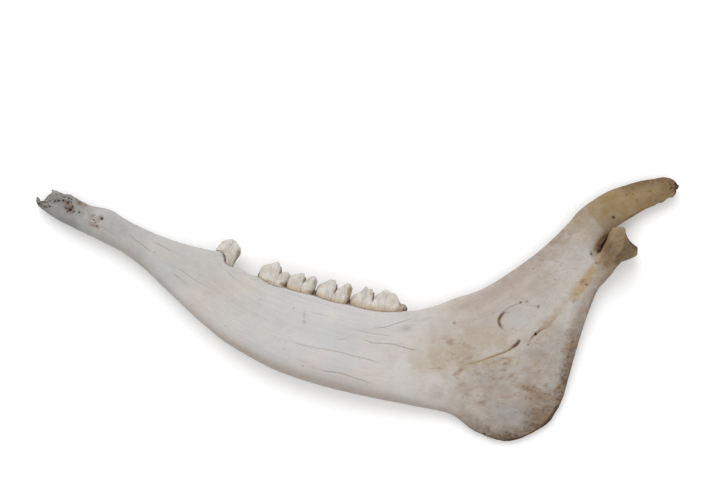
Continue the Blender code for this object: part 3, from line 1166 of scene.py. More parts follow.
# The low ridges of bone between the crowns, whose tops are painted dark brown as grime and painted shade
SEPTA = (
    ((-55.8, 13.6), (-52.2, 12.8), (-52.4, 19.4), (-53.4, 19.6)),
    ((-35.9, 7.6), (-32.2, 6.8), (-32.5, 13.2), (-33.6, 13.4)),
    ((-9.8, 0.4), (-6.2, -0.4), (-6.5, 6), (-7.6, 6.2)),
)
SEPTA_TOPS = ((-53.9, 17.2), (-34, 11.1), (-8, 3.9))

# The tooth row's margin and the first tooth's, where the crowns meet the bone
MARGIN = (
    (-78.5, 21.6), (-75.6, 22.2), (-65.1, 15.7), (-54, 13.1), (-44, 10.1), (-33.5, 7.5), (-20.8, 3.2),
    (-7.9, 0.6), (2.9, -2.1), (13.7, -4), (24.7, -4.6), (36.2, -3.8), (40, -3.4),
)

P2_MARGIN = (
    (-110.5, 42.6), (-107.2, 42.2), (-103.6, 41.3), (-101.3, 40.4), (-100.5, 37.6), (-99.8, 33.9),
    (-98.5, 31),
)

PATCHES = (
    *patches(Zone.GREY, 1, (
        (-240, 80, 62, 60, -32, 0.93), (-240, 82, 130, 80, -32, 0.5), (-135, 40, 95, 32, -32, 0.28),
        (-181, 59, 20, 11, -40, 0.55),
    )),
    *patches(Zone.GREY, 0.8, (
        (192, 48, 9, 8, 60, 0.1), (115, -82, 22, 11, -5, 0.3),
    )),
    *patches(Zone.GREY, 0.7, ((199, 37.5, 11, 5, 40, 0.3),)),
    *patches(Zone.DUSK, 1, (
        (118, -72, 82, 56, 25, 0.85), (132, -74, 46, 34, 35, 1), (143, 47, 60, 20, 42, 0.72),
        (140, -32, 30, 24, 60, 0.85),
    )),
    *patches(Zone.DUSK, 0.9, (
        (145, 10, 125, 80, 45, 0.42), (153, 57, 42, 14, 42, 0.9),
    )),
    *patches(Zone.DUSK, 0.8, (
        (168, -20, 80, 17, 70, 0.98), (138, 18, 22, 13, 40, 0.6),
    )),
    *patches(Zone.DUSK, 0.7, ((192, 40, 24, 20, 0, 0.82),)),
    # Painted shade along the ramus crest, and two faint pink strips on the body
    *patches(Zone.ROSE_SHADE, 1, (
        (105, 8, 60, 16, 38, 0.3), (8, -26, 44, 14, -8, 0.1), (-20, -46, 60, 8, -12, 0.1),
    )),
    *patches(Zone.TAN, 1, ((178, 68, 27, 19, -50, 0.44),)),
    *patches(Zone.TAN, 0.8, ((184, 33, 22, 9, 50, 0.4),)),
    *patches(Zone.TAN, 0.6, ((196, 46, 23, 19, 60, 0.8),)),
    *patches(Zone.TAN, 0.3, (
        (222, 89, 54, 30, 17, 0.97), (189.5, 78, 32, 19.5, -54, 0.88),
    )),
    *patches(Zone.GOLD, 1, (
        (84, -30, 34, 13, 12, 0.42), (62, -39, 24, 16, 0, 0.42), (168, 56, 12, 20, 40, 0.3),
    )),
    *patches(Zone.GOLD, 0.9, (
        (180, 36, 10, 4, 52, 0.5), (138, -18, 16, 4, 32, 0.3), (106, -41, 22, 5, 12, 0.3),
    )),
    *patches(Zone.GOLD, 0.8, (
        (164.5, 13, 9.5, 5, 54, 0.95), (171.5, 22, 13, 3.8, 60, 0.7),
    )),
    *patches(Zone.RUST, 1, (
        (110.9, -37.8, 6, 1.6, 5, 0.47), (118.2, -42, 1.3, 3.5, -30, 0.47),
        (112.8, -51.9, 4.7, 1.5, 35, 0.57), (112.8, -66.4, 7.2, 1.8, 10, 0.47),
        (90.7, -72.2, 4.4, 1.4, -10, 0.43), (107.4, -81, 4.4, 1.5, -20, 0.61),
        (131.6, -62.8, 7.8, 4.3, -10, 0.81), (140, -58.6, 3.4, 1.6, 50, 0.61),
        (150.7, -50.2, 2, 1.3, 60, 0.7), (159.5, -26.1, 6, 1.7, 75, 0.6), (134, -48, 3.4, 1.2, 30, 0.41),
        (99, -60, 2.9, 1.2, -25, 0.41), (76.1, -58.2, 1.8, 1.3, 0, 0.5), (77.6, -67.1, 1.5, 1.7, 0, 0.42),
        (87.1, -48.5, 1, 0.9, 0, 0.6), (82.5, -29.7, 6, 2.2, -10, 0.36), (102.6, -19.4, 1.3, 1, 0, 0.45),
        (69.8, -38.1, 1.8, 1.2, 0, 0.36), (-201, 68.5, 7, 4.5, -60, 0.22),
        (-201.5, 62.5, 6, 3, -30, 0.22), (-217, 74, 7, 4, -60, 0.12),
    )),
    *patches(Zone.RUST, 0.9, (
        (-199.1, 61, 3.4, 1.4, -20, 0.9), (-196.4, 59.6, 2.4, 1.2, -30, 0.8),
        (-194.2, 66.8, 3, 1.8, 0, 0.7),
    )),
    *patches(Zone.RUST, 0.8, (
        (71.4, -12.1, 1.6, 1.3, 0, 0.6), (121.3, 3.5, 1.5, 1.3, 0, 0.8), (126.1, 4.3, 1.2, 1.1, 0, 0.6),
        (134.6, 0.5, 1.6, 1.4, 0, 0.75), (131, -64, 13, 7, -20, 0.3), (-210.5, 78, 3, 1.6, -20, 0.95),
        (-40.2, -12.3, 1.4, 1.6, 0, 0.5), (-40.4, -7.5, 0.9, 3.2, 0, 0.35), (70, -34, 24, 13, 0, 0.1),
    )),
    *patches(Zone.RUST, 0.7, ((191.6, 67.6, 2, 1.4, 0, 0.8),)),
    *patches(Zone.RUST, 0.6, ((170.5, 17, 1.6, 1.2, 0, 0.9),)),
    *patches(Zone.RUST, 0.5, ((181.8, 46, 7, 3, 62, 0.8),)),
    # The septa's tops, dark brown: grime and painted shade in the gaps between the crowns
    *patches(Zone.RUST, 0.3, ((*top, 2, 3, -14, 1) for top in SEPTA_TOPS)),
    *patches(Zone.BROWN, 1, (
        (127.4, -81.4, 7.2, 2.7, -40, 0.85), (121, -92.8, 4.5, 2, 20, 0.8),
        (145.5, -66.5, 3.9, 2.2, 60, 0.68), (152.9, -45.6, 1.6, 1.2, 0, 0.7),
        (143, -74, 18, 13, 60, 0.62), (132, -86, 17, 11, 38, 0.85), (192, 47, 13, 7, 70, 0.34),
        (186.2, 43.6, 3.4, 2.2, 60, 0.6), (183.5, 38, 4, 2, 40, 0.6), (188.5, 39.5, 3, 2, 0, 0.5),
        (181, 33.5, 3.4, 1.4, 50, 0.5), (187, 34, 9, 5, 40, 0.48), (-229, 83.5, 16, 5, -20, 0.2),
        (-213, 76.5, 12, 5, -30, 0.16),
    )),
    *patches(Zone.BROWN, 0.9, (
        (238, 93, 13, 10, 15, 0.7), (229, 84, 16, 5, 22, 0.4), (160, -37, 20, 4.5, 74, 0.6),
        (-217.8, 74, 4.5, 3.6, -60, 0.85),
    )),
    *patches(Zone.BROWN, 0.8, (
        (139.4, -84.8, 17, 6.5, 45, 1), (130, -90, 15, 6, 38, 0.9), (153.5, -60, 26, 5.5, 70, 0.95),
        (184.8, 41.2, 3.6, 2.4, 55, 0.65), (192.5, 44, 5, 2, 70, 0.5),
    )),
    *patches(Zone.BROWN, 0.7, (
        (241, 93, 5, 7, 20, 0.95), (116, -97, 17, 4.5, 0, 1), (98.5, -96, 12, 3.5, -15, 0.7),
    )),
    *patches(Zone.BROWN, 0.4, ((181.4, 44.6, 5, 1.9, 62, 1),)),
    # The septa's tops, dark brown: grime and painted shade in the gaps between the crowns
    *patches(Zone.BROWN, 0.3, ((*top, 1.6, 2.8, -14, 0.45) for top in SEPTA_TOPS)),
    *patches(Zone.CHALK, 0.8, (
        (111, -80, 17, 7, -12, 0.7), (120, -72, 9, 4, -35, 0.55), (128, -38, 14, 5, 32, 0.4),
        (148, -24, 14, 7, 62, 0.45), (141, -46, 10, 6, 60, 0.3),
    )),
    # Dark at the foot of the notch: grime and painted shade
    *patches(Zone.DIRT_AND_SHADE, 0.4, ((180.6, 42.4, 1.8, 1.3, 62, 0.7),)),
    *patches(Zone.RUST, 0.8, grown(
        ((0.7, 2.4), (0.5, 1.1), (-30, 40), (0.5, 0.35)),
        (51, 13, -198.8, 64.2, 6.5, 5, -50), (52, 4, -217, 75.5, 6, 3.5, -55), (53, 5, -209, 79, 4, 1.6, -32),
    )),
    *patches(Zone.RUST, 0.8, grown(
        ((1, 3.4), (0.7, 1.3), (-15, 50), (0.36, 0.3)),
        (54, 14, 131.5, -63, 13, 8, -15), (55, 12, 106, -74, 20, 9, -12), (56, 10, 113, -49, 14, 9, 10),
        (57, 9, 84, -58, 14, 14, 0), (58, 8, 72, -32, 15, 9, 0), (60, 9, 152, -55, 18, 4, 70),
        (61, 7, 161, 10, 14, 5, 55),
    )),
    *patches(Zone.BROWN, 0.8, grown(
        ((1.2, 3.6), (0.8, 1.5), (0, 60), (0.55, 0.4)),
        (59, 16, 134, -84.5, 15, 6, 42), (62, 10, 116, -95, 15, 3, 4), (63, 12, 155, -52, 20, 2.6, 70),
    )),
)

# Lines that stains, painted shade and grooves follow
ANGLE_RIM = (
    (60, -79.5), (74, -84), (88, -93), (100, -97.5), (113, -99.5), (126, -96), (138.5, -88.5), (147, -77.5),
    (153, -66), (157.5, -53), (161, -41), (169, -15), (177, 7.5),
)
LOWER_GROOVE = ((120, -25.5), (115, -30.3), (106.4, -34.5), (90.9, -40.1), (71.6, -43.9))
BEHIND_FORAMEN = ((126.5, -27.5), (132.5, -19.5), (142.8, -11.4), (150.8, -1), (159.2, 9.9))
CORONOID_CREST = ((190, 90), (203, 94.5), (216, 98), (226, 99.5), (240, 98), (252, 92))
RAMUS_CREST = ((62, -6), (80, 0), (98, 9), (116, 20), (134, 36), (150, 54))

BANDS = tuple(Band(*row) for row in (
    # The angle's rim: brown stain, with a dark edge line that is partly painted shade
    (Zone.BROWN, ANGLE_RIM, 14, 0.82, 0.25),
    (Zone.BROWN, ANGLE_RIM[2:10], 6.5, 1),
    (Zone.DIRT_AND_SHADE, ANGLE_RIM[3:9], 3, 0.75, 0.2),
    (Zone.BROWN, CORONOID_CREST, 11, 0.8, 0.3),
    (Zone.BROWN, CORONOID_CREST[:5], 4.5, 0.9, 0.3),
    (Zone.RUST, ((205, 76), (217, 80), (229, 85), (240, 89)), 6, 0.35, 0.3),
    (Zone.BROWN, ((197.5, 88.9), (205, 90.5), (212.9, 93.2), (224.5, 95.5), (236, 95.5)), 2.2, 0.55),
    (Zone.BROWN, ((196, 61.5), (207, 69), (217, 74.5), (227, 78.5), (240, 79)), 3, 0.45),
    (Zone.BROWN, CORONOID_BREAK[2:12], 7, 0.95, 0.05),
    (Zone.DIRT_AND_SHADE, CORONOID_BREAK[3:10], 4.4, 0.8, 0.05),
    (Zone.BROWN, FRONT_BREAK[:17], 3, 0.5, 0.02),
    # Brown along the neck's back edge: stain and painted shade where the edge turns away
    (Zone.BROWN, ((206, 38.5), (198, 31), (189, 21), (183, 13), (177, 2), (171, -12)), 7, 0.6, 0.2),
    # Brown and a dark line in the groove between the joint head's plate and facet: stain and painted shade
    (Zone.BROWN, ((199.2, 57), (201.3, 52.4), (204, 48.6), (207.6, 46.4), (211.6, 44.8)), 4.4, 1, 0.1),
    (Zone.DIRT_AND_SHADE, ((200.4, 54), (202.2, 50.6), (204.8, 48), (208, 46.2), (211.6, 44.8)), 3.2, 0.9, 0.12),
    # Pink-brown painted shade in the trough behind the ramus crest
    (Zone.ROSE_SHADE, ((62, -6), (85.7, 0.8), (95.4, 5.4), (106, 14), (121, 23.5), (140, 38)), 11, 0.55, 0.3),
    # The dark brown arc at the foramen's crescent: stain and the painted shadow of its entrance
    (Zone.RUST, ((110.3, -2.2), (106.2, -7), (105.1, -11), (108.8, -17.8)), 2.4, 0.5, 0.3),
    (Zone.BROWN, ((110.3, -2.2), (106.4, -7), (105.3, -11), (107.8, -16.4)), 1.5, 0.8, 0.3),
    (Zone.GOLD, LOWER_GROOVE, 3.4, 0.55, 0.2),
    (Zone.RUST, LOWER_GROOVE[:3], 1.6, 0.5, 0.2),
    (Zone.GOLD, BEHIND_FORAMEN, 4, 0.32, 0.15),
    (Zone.RUST, BEHIND_FORAMEN[:3], 1.9, 0.5, 0.2),
    (Zone.RUST, SLOT_RIM, 3.2, 0.85, 0.12),
    (Zone.GOLD, SLOT_RIM, 5.5, 0.6, 0.12),
    # Brown along the first tooth's socket edge: stain and painted shade where the crown meets the bone
    (Zone.RUST, P2_MARGIN[2:], 2.2, 0.8, 0.05),
    (Zone.BROWN, P2_MARGIN[2:], 1.5, 0.7, 0.05),
    # The lower groove's deep start: grime and painted shade
    (Zone.DIRT_AND_SHADE, LOWER_GROOVE[:2], 1.5, 0.55, 0.15),
))

PITS = tuple(Pit(*row) for row in (
    (-217.3, 73.4, 1.5, 1.7, 0.95), (-215.6, 75.6, 0.9, 0.9, 0.8), (-219.4, 72, 0.8, 0.8, 0.75),
    (-219.2, 78.2, 0.9, 0.9, 0.7), (-210.3, 71.2, 0.9, 1.2, 0.9), (-229.2, 80.3, 0.9, 0.9, 0.7),
    (-226.4, 80.8, 0.8, 0.9, 0.75), (-223.1, 80.7, 0.9, 1, 0.85), (-233.6, 80.6, 0.8, 0.7, 0.6),
    (-242.3, 78.6, 0.9, 0.8, 0.8), (-239, 76.8, 0.8, 0.6, 0.5), (-193, 66.1, 1.1, 1.3, 1),
    (192.2, 67.9, 1.1, 0.9, 1), (174.8, 40.1, 0.8, 0.8, 0.95), (177.8, 32.8, 1, 0.7, 0.5),
    (171, 16.7, 0.7, 0.4, 0.6), (71.4, -12.1, 0.7, 0.3, 0.15), (93, -95.2, 1.8, 1.3, 0.9),
    (121.3, 3.5, 0.7, 0.4, 0.35), (126.1, 4.3, 0.6, 0.3, 0.25), (134.6, 0.5, 0.8, 0.4, 0.3),
    (126.8, -27.9, 0.7, 0.4, 0.6), (115.7, -15.8, 0.5, 0.3, 0.5), (117.9, -17.2, 0.5, 0.3, 0.5),
    (152.3, 6.3, 0.7, 0.4, 0.5), (132.7, -19.9, 1.2, 0.9, 0.9), (220.7, 88.1, 0.8, 0.4, 0.6),
    (230.8, 95.5, 0.7, 0.4, 0.5), (225.1, 80.9, 0.7, 0.3, 0.5), (237.3, 91.4, 0.8, 0.7, 0.8),
    (241.3, 95.5, 1.1, 1, 0.9), (243.6, 91.2, 1, 0.8, 0.9), (241.6, 86.4, 0.9, 0.8, 0.8),
    (238.4, 83.6, 0.7, 0.5, 0.6), (202.4, 85.4, 0.8, 0.4, 0.5), (207.4, 85.8, 0.7, 0.3, 0.45),
    (159.7, -26.4, 1.3, 0.5, 0.2), (156.3, -37.1, 1.4, 0.6, 0.3), (152.5, -47.1, 1.8, 0.6, 0.25),
    (151.9, -52.6, 1.5, 0.6, 0.25), (-73.3, 4.4, 0.6, 0.2, 0.25), (-52.1, -18.8, 0.5, 0.2, 0.25),
    (-59, -26.2, 0.5, 0.2, 0.25),
    *grown(
        ((0.35, 0.6), (0.45, 0.7), (0.36, 0.4)),
        (31, 16, -217.6, 74.5, 6, 3.2, -58), (32, 14, -227, 80.4, 8.5, 2.2, 4),
        (33, 12, -216, 80.8, 11, 2.4, -26), (34, 7, -238, 77.5, 5, 2, -20), (36, 9, 238.5, 91, 4.5, 8, 0),
    ),
    *grown(
        ((0.35, 0.55), (0.25, 0.3), (0.22, 0.35)),
        (35, 10, -198.5, 64.5, 6.5, 4.5, -40), (37, 22, 154, -50, 22, 3.2, 72),
        (38, 14, 131, -64, 12, 7, -20), (39, 12, 118, -92, 18, 3.2, 8), (40, 8, 214, 88, 18, 7, 17),
        (42, 6, 190, 46, 6, 7, 60),
    ),
    (-172, 46, 2.8, 3, 0.9, False), (-120, 22, 1.4, 1.6, 0.7, False),
))

SEAMS = tuple(Seam(*row) for row in (
    # The lower groove's dark start is partly painted shade
    (((120.5, -23.8), (119.9, -26), (118.3, -27.9), (115, -30.3), (110.5, -33)), 1.4, 1, 0.08, 0.6, 1.1),
    (((116, -29.8), (111.8, -32.4), (106.4, -34.5), (99, -37.2), (90.9, -40.1), (82.9, -42.3),
      (71.6, -43.9), (60.3, -44.4)), 0.6, 0.75, 0.05, 0.9, 0.45),
    # The foramen's crescent: a dark line, partly the painted shadow of its entrance
    (((110.3, -2.2), (107.6, -4.6), (106.2, -7), (105.1, -9.7), (105.1, -12.1), (106.1, -14),
      (108.8, -17.8)), 1, 1, 0.35, 0.35, 0.9),
    (((107.6, -4.9), (111.6, -4), (116, -3)), 0.6, 0.45, 0.1, 0.6, 0.2),
    (((108.9, -3.5), (111.1, -1.1), (115.4, 1.1), (121.3, 3.5), (127.5, 4.5)), 0.6, 0.42, 0.2, 0.3, 0.15),
    (((124, 1.2), (130.4, 1), (136, 0.3)), 0.6, 0.32, 0.3, 0.3, 0.1),
    (((-206.4, 75.5), (-204, 71.7), (-201.6, 66.4), (-202.3, 63.4), (-198.7, 59.7), (-195.6, 58.9)),
     0.5, 0.34, 0.2, 0.2, 0.2),
    (((-201.6, 66.8), (-199, 67.4), (-196.4, 65.6), (-192.6, 65.9)), 0.45, 0.3, 0.1, 0.2, 0.2),
    (((-202, 63.4), (-198.6, 62.8), (-195.6, 63.4), (-193.4, 64.9)), 0.45, 0.3, 0.1, 0.2, 0.2),
    (((127, -26.5), (130, -22), (132.7, -19.9), (136.5, -17.2), (140.8, -15.1), (146, -12.6)),
     0.75, 0.9, 0.35, 0.55, 0.5),
    (((151, -2.5), (147.3, -8.2), (141, -14.3)), 0.5, 0.35, 0.3, 0.3),
    (((-61, -22.7), (-52.4, -26.2), (-39.3, -30), (-27.8, -32.4), (-14.7, -34.9), (-4.8, -37.3),
      (5.8, -39.8), (12.4, -41.7), (20.5, -45.4)), 0.5, 0.42, 0.3, 0.15, 0.1),
    (((-19.6, -24.4), (-14, -25.4), (-9.5, -24.4), (-4.8, -21.3)), 0.45, 0.35, 0.3, 0.4),
    (((-2.4, -23), (5.8, -26.2), (12.4, -28), (22.3, -28.3), (29.7, -29.7), (38.8, -32.2), (49, -33)),
     0.5, 0.5, 0.25, 0.2, 0.1),
    (((5, -17.4), (18.2, -16.2), (25.6, -14.1), (34.7, -11.1), (44, -7.6)), 0.5, 0.5, 0.3, 0.25, 0.1),
    (((-18.8, -17.2), (-6.5, -18), (9.9, -20.8), (27.5, -23.1)), 0.4, 0.35, 0.4, 0.15),
    (((-37.6, -45.6), (-31, -46.8), (-24.5, -48.8), (-14.6, -50), (-4.8, -53.3), (5.8, -56.5),
      (15, -60.8)), 0.5, 0.5, 0.3, 0.25, 0.15),
    (((-35.5, -5.1), (-27.1, -6.9), (-18.7, -8.3)), 0.4, 0.3, 0.3, 0.3),
    (((-175, 57.5), (-167, 49.6), (-162.1, 46.1), (-157.7, 42.3), (-148.6, 36)),
     0.5, 0.5, 0.3, 0.5, 0.15),
    (((-146, 33.5), (-131.8, 26.1), (-118.2, 16.9), (-101.6, 9.3)), 0.45, 0.35, 0.3, 0.4),
    (((-103.4, 32.6), (-94.3, 22), (-80.8, 11.5)), 0.4, 0.25, 0.4, 0.4),
    # A painted shadow line where the crowns meet the bone
    (MARGIN, 0.7, 0.8, 0.04, 0.06),
    (((62, -31), (72, -36.5), (80, -47)), 0.45, 0.3, 0.3, 0.3),
    (((84, -30), (74, -38), (62, -41)), 0.45, 0.3, 0.3, 0.3),
    (((137, 46), (150, 50), (166, 52)), 0.4, 0.3, 0.4, 0.4),
    (((131, 36), (146, 35), (160, 31)), 0.4, 0.3, 0.4, 0.4),
    (((128, 14), (146, 26), (162, 29), (174, 27)), 0.4, 0.3, 0.4, 0.4),
))

# How much of the bone's outer side is flat where it rests
REST_CUT = 0.6

# Middles of the places that are shaped one by one, seen from the inner side
HEAD_FACET = (202.0, 42.0)
HEAD_FOOT = (190.0, 40.0)
NOTCH_END = (184.0, 48.0)
NOTCH_FLOOR = (187.0, 49.0)
NOTCH_WALLS = (185.0, 48.0)
FORAMEN = (118.0, -14.0)
FORAMEN_BOWL = (121.5, -10.3)
FRONT_HOLLOW = (-226.0, 72.9)
FRONT_SWELLING = (-187.0, 66.0)
EMPTY_SOCKETS = ((-90.5, 3.4), (-82.0, 3.2))

# Heights of the bone's margin beside the crowns, as x and height
MARGIN_HEIGHTS = ((-76.0, 24.9), (-54.0, 25.8), (-33.0, 26.6), (-8.0, 26.7), (36.0, 25.4))
SOCKET_HEIGHT = 22.8


@dataclass
class JawBone:
    """The bone itself: body, coronoid, neck and joint head as one skin."""

    name: str = "jaw_bone"
    voxel: float = 0.75
    seed: int = 11
    body: Loft = BODY
    coronoid: Loft = CORONOID
    neck: Loft = NECK

    def build(self, finish: BoneFinish, effects: SharedEffects) -> Item:
        """Make, shape, paint and dress the bone.

        Args:
            finish: Its colours.
            effects: The shared node groups.

        Returns:
            The finished object.
        """
        surface = self._form()
        self._relieve(surface)
        self._lay_down(surface)
        item = surface.to_object(self.name)
        item.data.materials.append(finish.material(effects))
        LOG.info("%s: %d points, %d faces", self.name, len(surface.points), len(surface.faces))
        return item

    @staticmethod
    def _head() -> Skin:
        """The joint head, stacked from its levels."""
        rows = []
        for level in HEAD:
            ring = closed_curve(level.outline, 7)
            rows.append(np.append(ring.ravel(), level.z))
        table = cubic_rows(np.array(rows), 5)
        rings = np.zeros((len(table), (table.shape[1] - 1) // 2, 3))
        rings[..., :2] = table[:, :-1].reshape(len(table), -1, 2)
        rings[..., 2] = table[:, -1:]
        return ring_skin(rings)

    def _form(self) -> Surface:
        """The plain shape: lofts cut and fused, seams smoothed, fine faces where there is fine detail."""
        front = prism(FRONT_BREAK, -6.0, 40.0, (2.0, 2.5))
        step = prism(SOCKET_STEP, -6.0, 50.0)
        slot = prism(NOTCH_SLOT, -6.0, 27.0, (-16.0, 0.3))
        end = prism(CORONOID_BREAK, -6.0, 40.0, (-1.5, 0.0))
        parts = [
            cut(self.body.skin(6, 64), [front, step]),
            cut(self.coronoid.skin(6, 48), [end, slot]),
            cut(self.neck.skin(6, 48), [slot]),
            self._head(),
            *(prism(outline, 9.0, 20.5) for outline in SEPTA),
            prism(SLOT_FLOOR, 5.0, 10.0),
        ]
        surface = Surface(fuse(parts, self.voxel))
        surface.smooth(1)
        x, y, z = surface.points.T
        seam = ramp(x, 148, 162) * ramp(-x, -200, -186) * ramp(-y, -76, -62) * ramp(-z, -26, -20)
        seam = seam * ramp(away(surface.points, NOTCH_END), 5, 11)
        surface.smooth(16, seam, keep=False)
        x, _, z = surface.points.T
        joint = fade(away(surface.points, HEAD_FOOT), 6, 12)
        surface.smooth(9, 0.8 * joint * ramp(z, 16, 22), keep=False)
        self._raise_margin(surface)
        foramen = (away(surface.points, FORAMEN) < 19.0) & (surface.points[:, 2] > 9.0)
        surface.refine((x < -186) | (x > 228) | foramen)
        surface.smooth(1)
        return surface

    @staticmethod
    def _raise_margin(surface: Surface) -> None:
        """Square the bone's inner rim along the tooth row, so that it meets the crowns.

        Args:
            surface: The skin to change.
        """
        x, _, z = surface.points.T
        gap, side, _ = to_line(surface.points[:, :2], smooth_line(MARGIN))
        below = -side * gap
        here = ramp(x, -86, -74) * fade(x, 34, 46) * ramp(z, 14, 19)
        here = here * ramp(below, -0.9, 0.1) * fade(below, 9, 16)
        level = np.interp(x, *zip(*MARGIN_HEIGHTS)) + 0.07 * np.abs(below)
        gap, side, place = to_line(surface.points[:, :2], P2_MARGIN)
        below = -side * gap
        socket = ramp(below, -0.7, 0.1) * fade(below, 4, 9) * ramp(z, 14, 18)
        socket = socket * ramp(place, 0, 0.2) * fade(place, 0.85, 1)
        raised = here * np.maximum(level - z, 0.0) + socket * np.maximum(SOCKET_HEIGHT - z, 0.0)
        surface.points[:, 2] += raised

    def _flow(self, points: Array) -> Array:
        """Places along and across the grain, which runs from the tip and fans out over the ramus.

        Args:
            points: Points of the bone.

        Returns:
            Distance along the grain, across it, and the height, in millimetres.
        """
        edges = [(*s.upper[:2], *s.lower[:2]) for s in self.body.stations]
        edges += [(*upper, *lower) for upper, lower in GRAIN_BEYOND]
        rows = cubic_rows(np.array(edges, dtype=float), 12)
        middle = 0.5 * (rows[:, :2] + rows[:, 2:])
        along = np.concatenate([[0.0], np.cumsum(np.linalg.norm(np.diff(middle, axis=0), axis=1))])
        share = np.linspace(-0.1, 1.1, 61)
        grid = rows[:, None, 2:] + (rows[:, None, :2] - rows[:, None, 2:]) * share[:, None]
        tree = KDTree(grid.shape[0] * grid.shape[1])
        for i, (gx, gy) in enumerate(grid.reshape(-1, 2)):
            tree.insert((gx, gy, 0.0), i)
        tree.balance()
        found = np.array([tree.find((x, y, 0.0))[1] for x, y in points[:, :2]])
        row, column = np.divmod(found, len(share))
        step_along = np.gradient(grid, axis=0)[row, column]
        step_across = np.gradient(grid, axis=1)[row, column]
        offset = points[:, :2] - grid[row, column]
        area = step_along[:, 0] * step_across[:, 1] - step_along[:, 1] * step_across[:, 0]
        area = np.where(np.abs(area) < 1e-6, 1e-6, area)
        more_rows = (offset[:, 0] * step_across[:, 1] - offset[:, 1] * step_across[:, 0]) / area
        more_columns = (step_along[:, 0] * offset[:, 1] - step_along[:, 1] * offset[:, 0]) / area
        run = np.gradient(along)[row] * np.clip(more_rows, -2, 2) + along[row]
        across = share[column] + (share[1] - share[0]) * np.clip(more_columns, -2, 2)
        return np.column_stack([run, across * 60.0, points[:, 2]])

    def _relieve(self, surface: Surface) -> None:
        """Work the fine relief into the skin and paint its zones.

        Args:
            surface: The skin to change.
        """
        points, normals = surface.points, surface.normals()
        up = ramp(normals[:, 2], 0.1, 0.5)
        noise = Noise(self.seed)
        flow = self._flow(points)
        facet = self._facet(points[:, :2])
        zones = self._zones(points, noise)
        self._shade(zones, points, normals, facet)

        height = 0.3 * noise.fractal(points, 24.0, 3) - 0.6 * facet
        height += 0.07 * Noise(3).fractal(flow * np.array([0.09, 1.0, 1.0]), 2.6, 2)
        height += 0.35 * zones[Zone.BROWN] * Noise(5).fractal(points, 3.0, 3)
        height += 0.25 * zones[Zone.GREY] * Noise(6).fractal(points, 2.4, 3)
        height += self._foramen(points) * up - self._sockets(points, normals)
        height -= self._bevels(points) * up + self._draw_seams(surface, points[:, :2], up)
        crumbled, dirt_and_shade = self._front_end(points, normals)
        pitted, pit_dirt_and_shade = self._pits(points, normals, noise)
        surface.push(height + crumbled - pitted)

        surface.paint["flow"] = flow
        for zone, values in zones.items():
            surface.paint[zone.value] = values
        # Grime and painted shade from holes, pits, hollows and the notch's walls make one darkening
        dirt_and_shade = np.maximum(dirt_and_shade, pit_dirt_and_shade) + self._hollow_shade(surface)
        dirt_and_shade += zones[Zone.DIRT_AND_SHADE] * ramp(points[:, 2], 2, 6)
        surface.paint[Zone.DIRT_AND_SHADE.value] = np.clip(dirt_and_shade, 0.0, 1.0)

    @staticmethod
    def _shade(zones: dict[Zone, Array], points: Array, normals: Array, facet: Array) -> None:
        """Paint shade on what faces down the jaw and on the notch's floor, and darken the joint head's facet.

        Args:
            zones: The strength of each zone at each point, which is changed.
            points: Points of the bone.
            normals: Their normals.
            facet: How far each point lies on the facet.
        """
        x, y, z = points.T
        # Painted shade on the faces that turn down, weaker towards the front end
        under = ramp(-normals[:, 1], 0.15, 0.75) * (z > 4.0) * (0.55 + 0.45 * ramp(x, -150, -90))
        lay(zones, Zone.SHADE, 0.85 * under)
        lay(zones, Zone.GREY, 0.8 * facet)
        lay(zones, Zone.BROWN, 0.85 * facet * (1.0 - 0.8 * ramp(x - 0.5 * y, 185, 188.5)))
        # Painted shade in grey and brown on the floor deep in the notch's slot
        floor = fade(z, 10.5, 13) * ramp(normals[:, 2], 0.1, 0.5)
        deep = floor * fade(away(points, NOTCH_FLOOR), 8, 11)
        lay(zones, Zone.GREY, 0.9 * deep)
        lay(zones, Zone.BROWN, deep * fade(x, 181, 187))

    @staticmethod
    def _front_end(points: Array, normals: Array) -> tuple[Array, Array]:
        """The crumbled front end, with its hollow, its rough crust and its holes.

        Args:
            points: Points of the bone.
            normals: Their normals.

        Returns:
            How high each point is raised, and how dark its holes are painted, with grime and painted shade.
        """
        x, y, _ = points.T
        up = ramp(normals[:, 2], 0.1, 0.5)
        along, across = x - FRONT_HOLLOW[0], y - FRONT_HOLLOW[1]
        hollow = np.hypot(along * 0.83 - across * 0.56, (along * 0.56 + across * 0.83) * 1.7)
        height = -0.9 * fade(hollow, 2, 10) * up
        crust = ramp(-x, 200, 212) * ramp(y + 0.62 * x, -57, -50.5)
        height += crust * up * (0.5 + 0.7 * Noise(9).fractal(points, 2.8, 2))
        height += 1.5 * crust * ramp(normals[:, 1], 0.2, 0.7) * Noise(13).fractal(points, 3.2, 3)
        height += 0.7 * hump(away(points, FRONT_SWELLING, 1.4), 8.0) * up
        gap, _, _ = to_line(points[:, :2], FRONT_BREAK[:17])
        torn = np.maximum(fade(gap, 2, 12), 0.75 * crust)
        near, value = Noise(8).pores(points, 2.3)
        hole = fade(near, 0.16, 0.5) * ramp(value, 0.2, 0.6) * torn * ramp(-x, 205, 214)
        return height - 0.95 * hole, 0.6 * hole * value

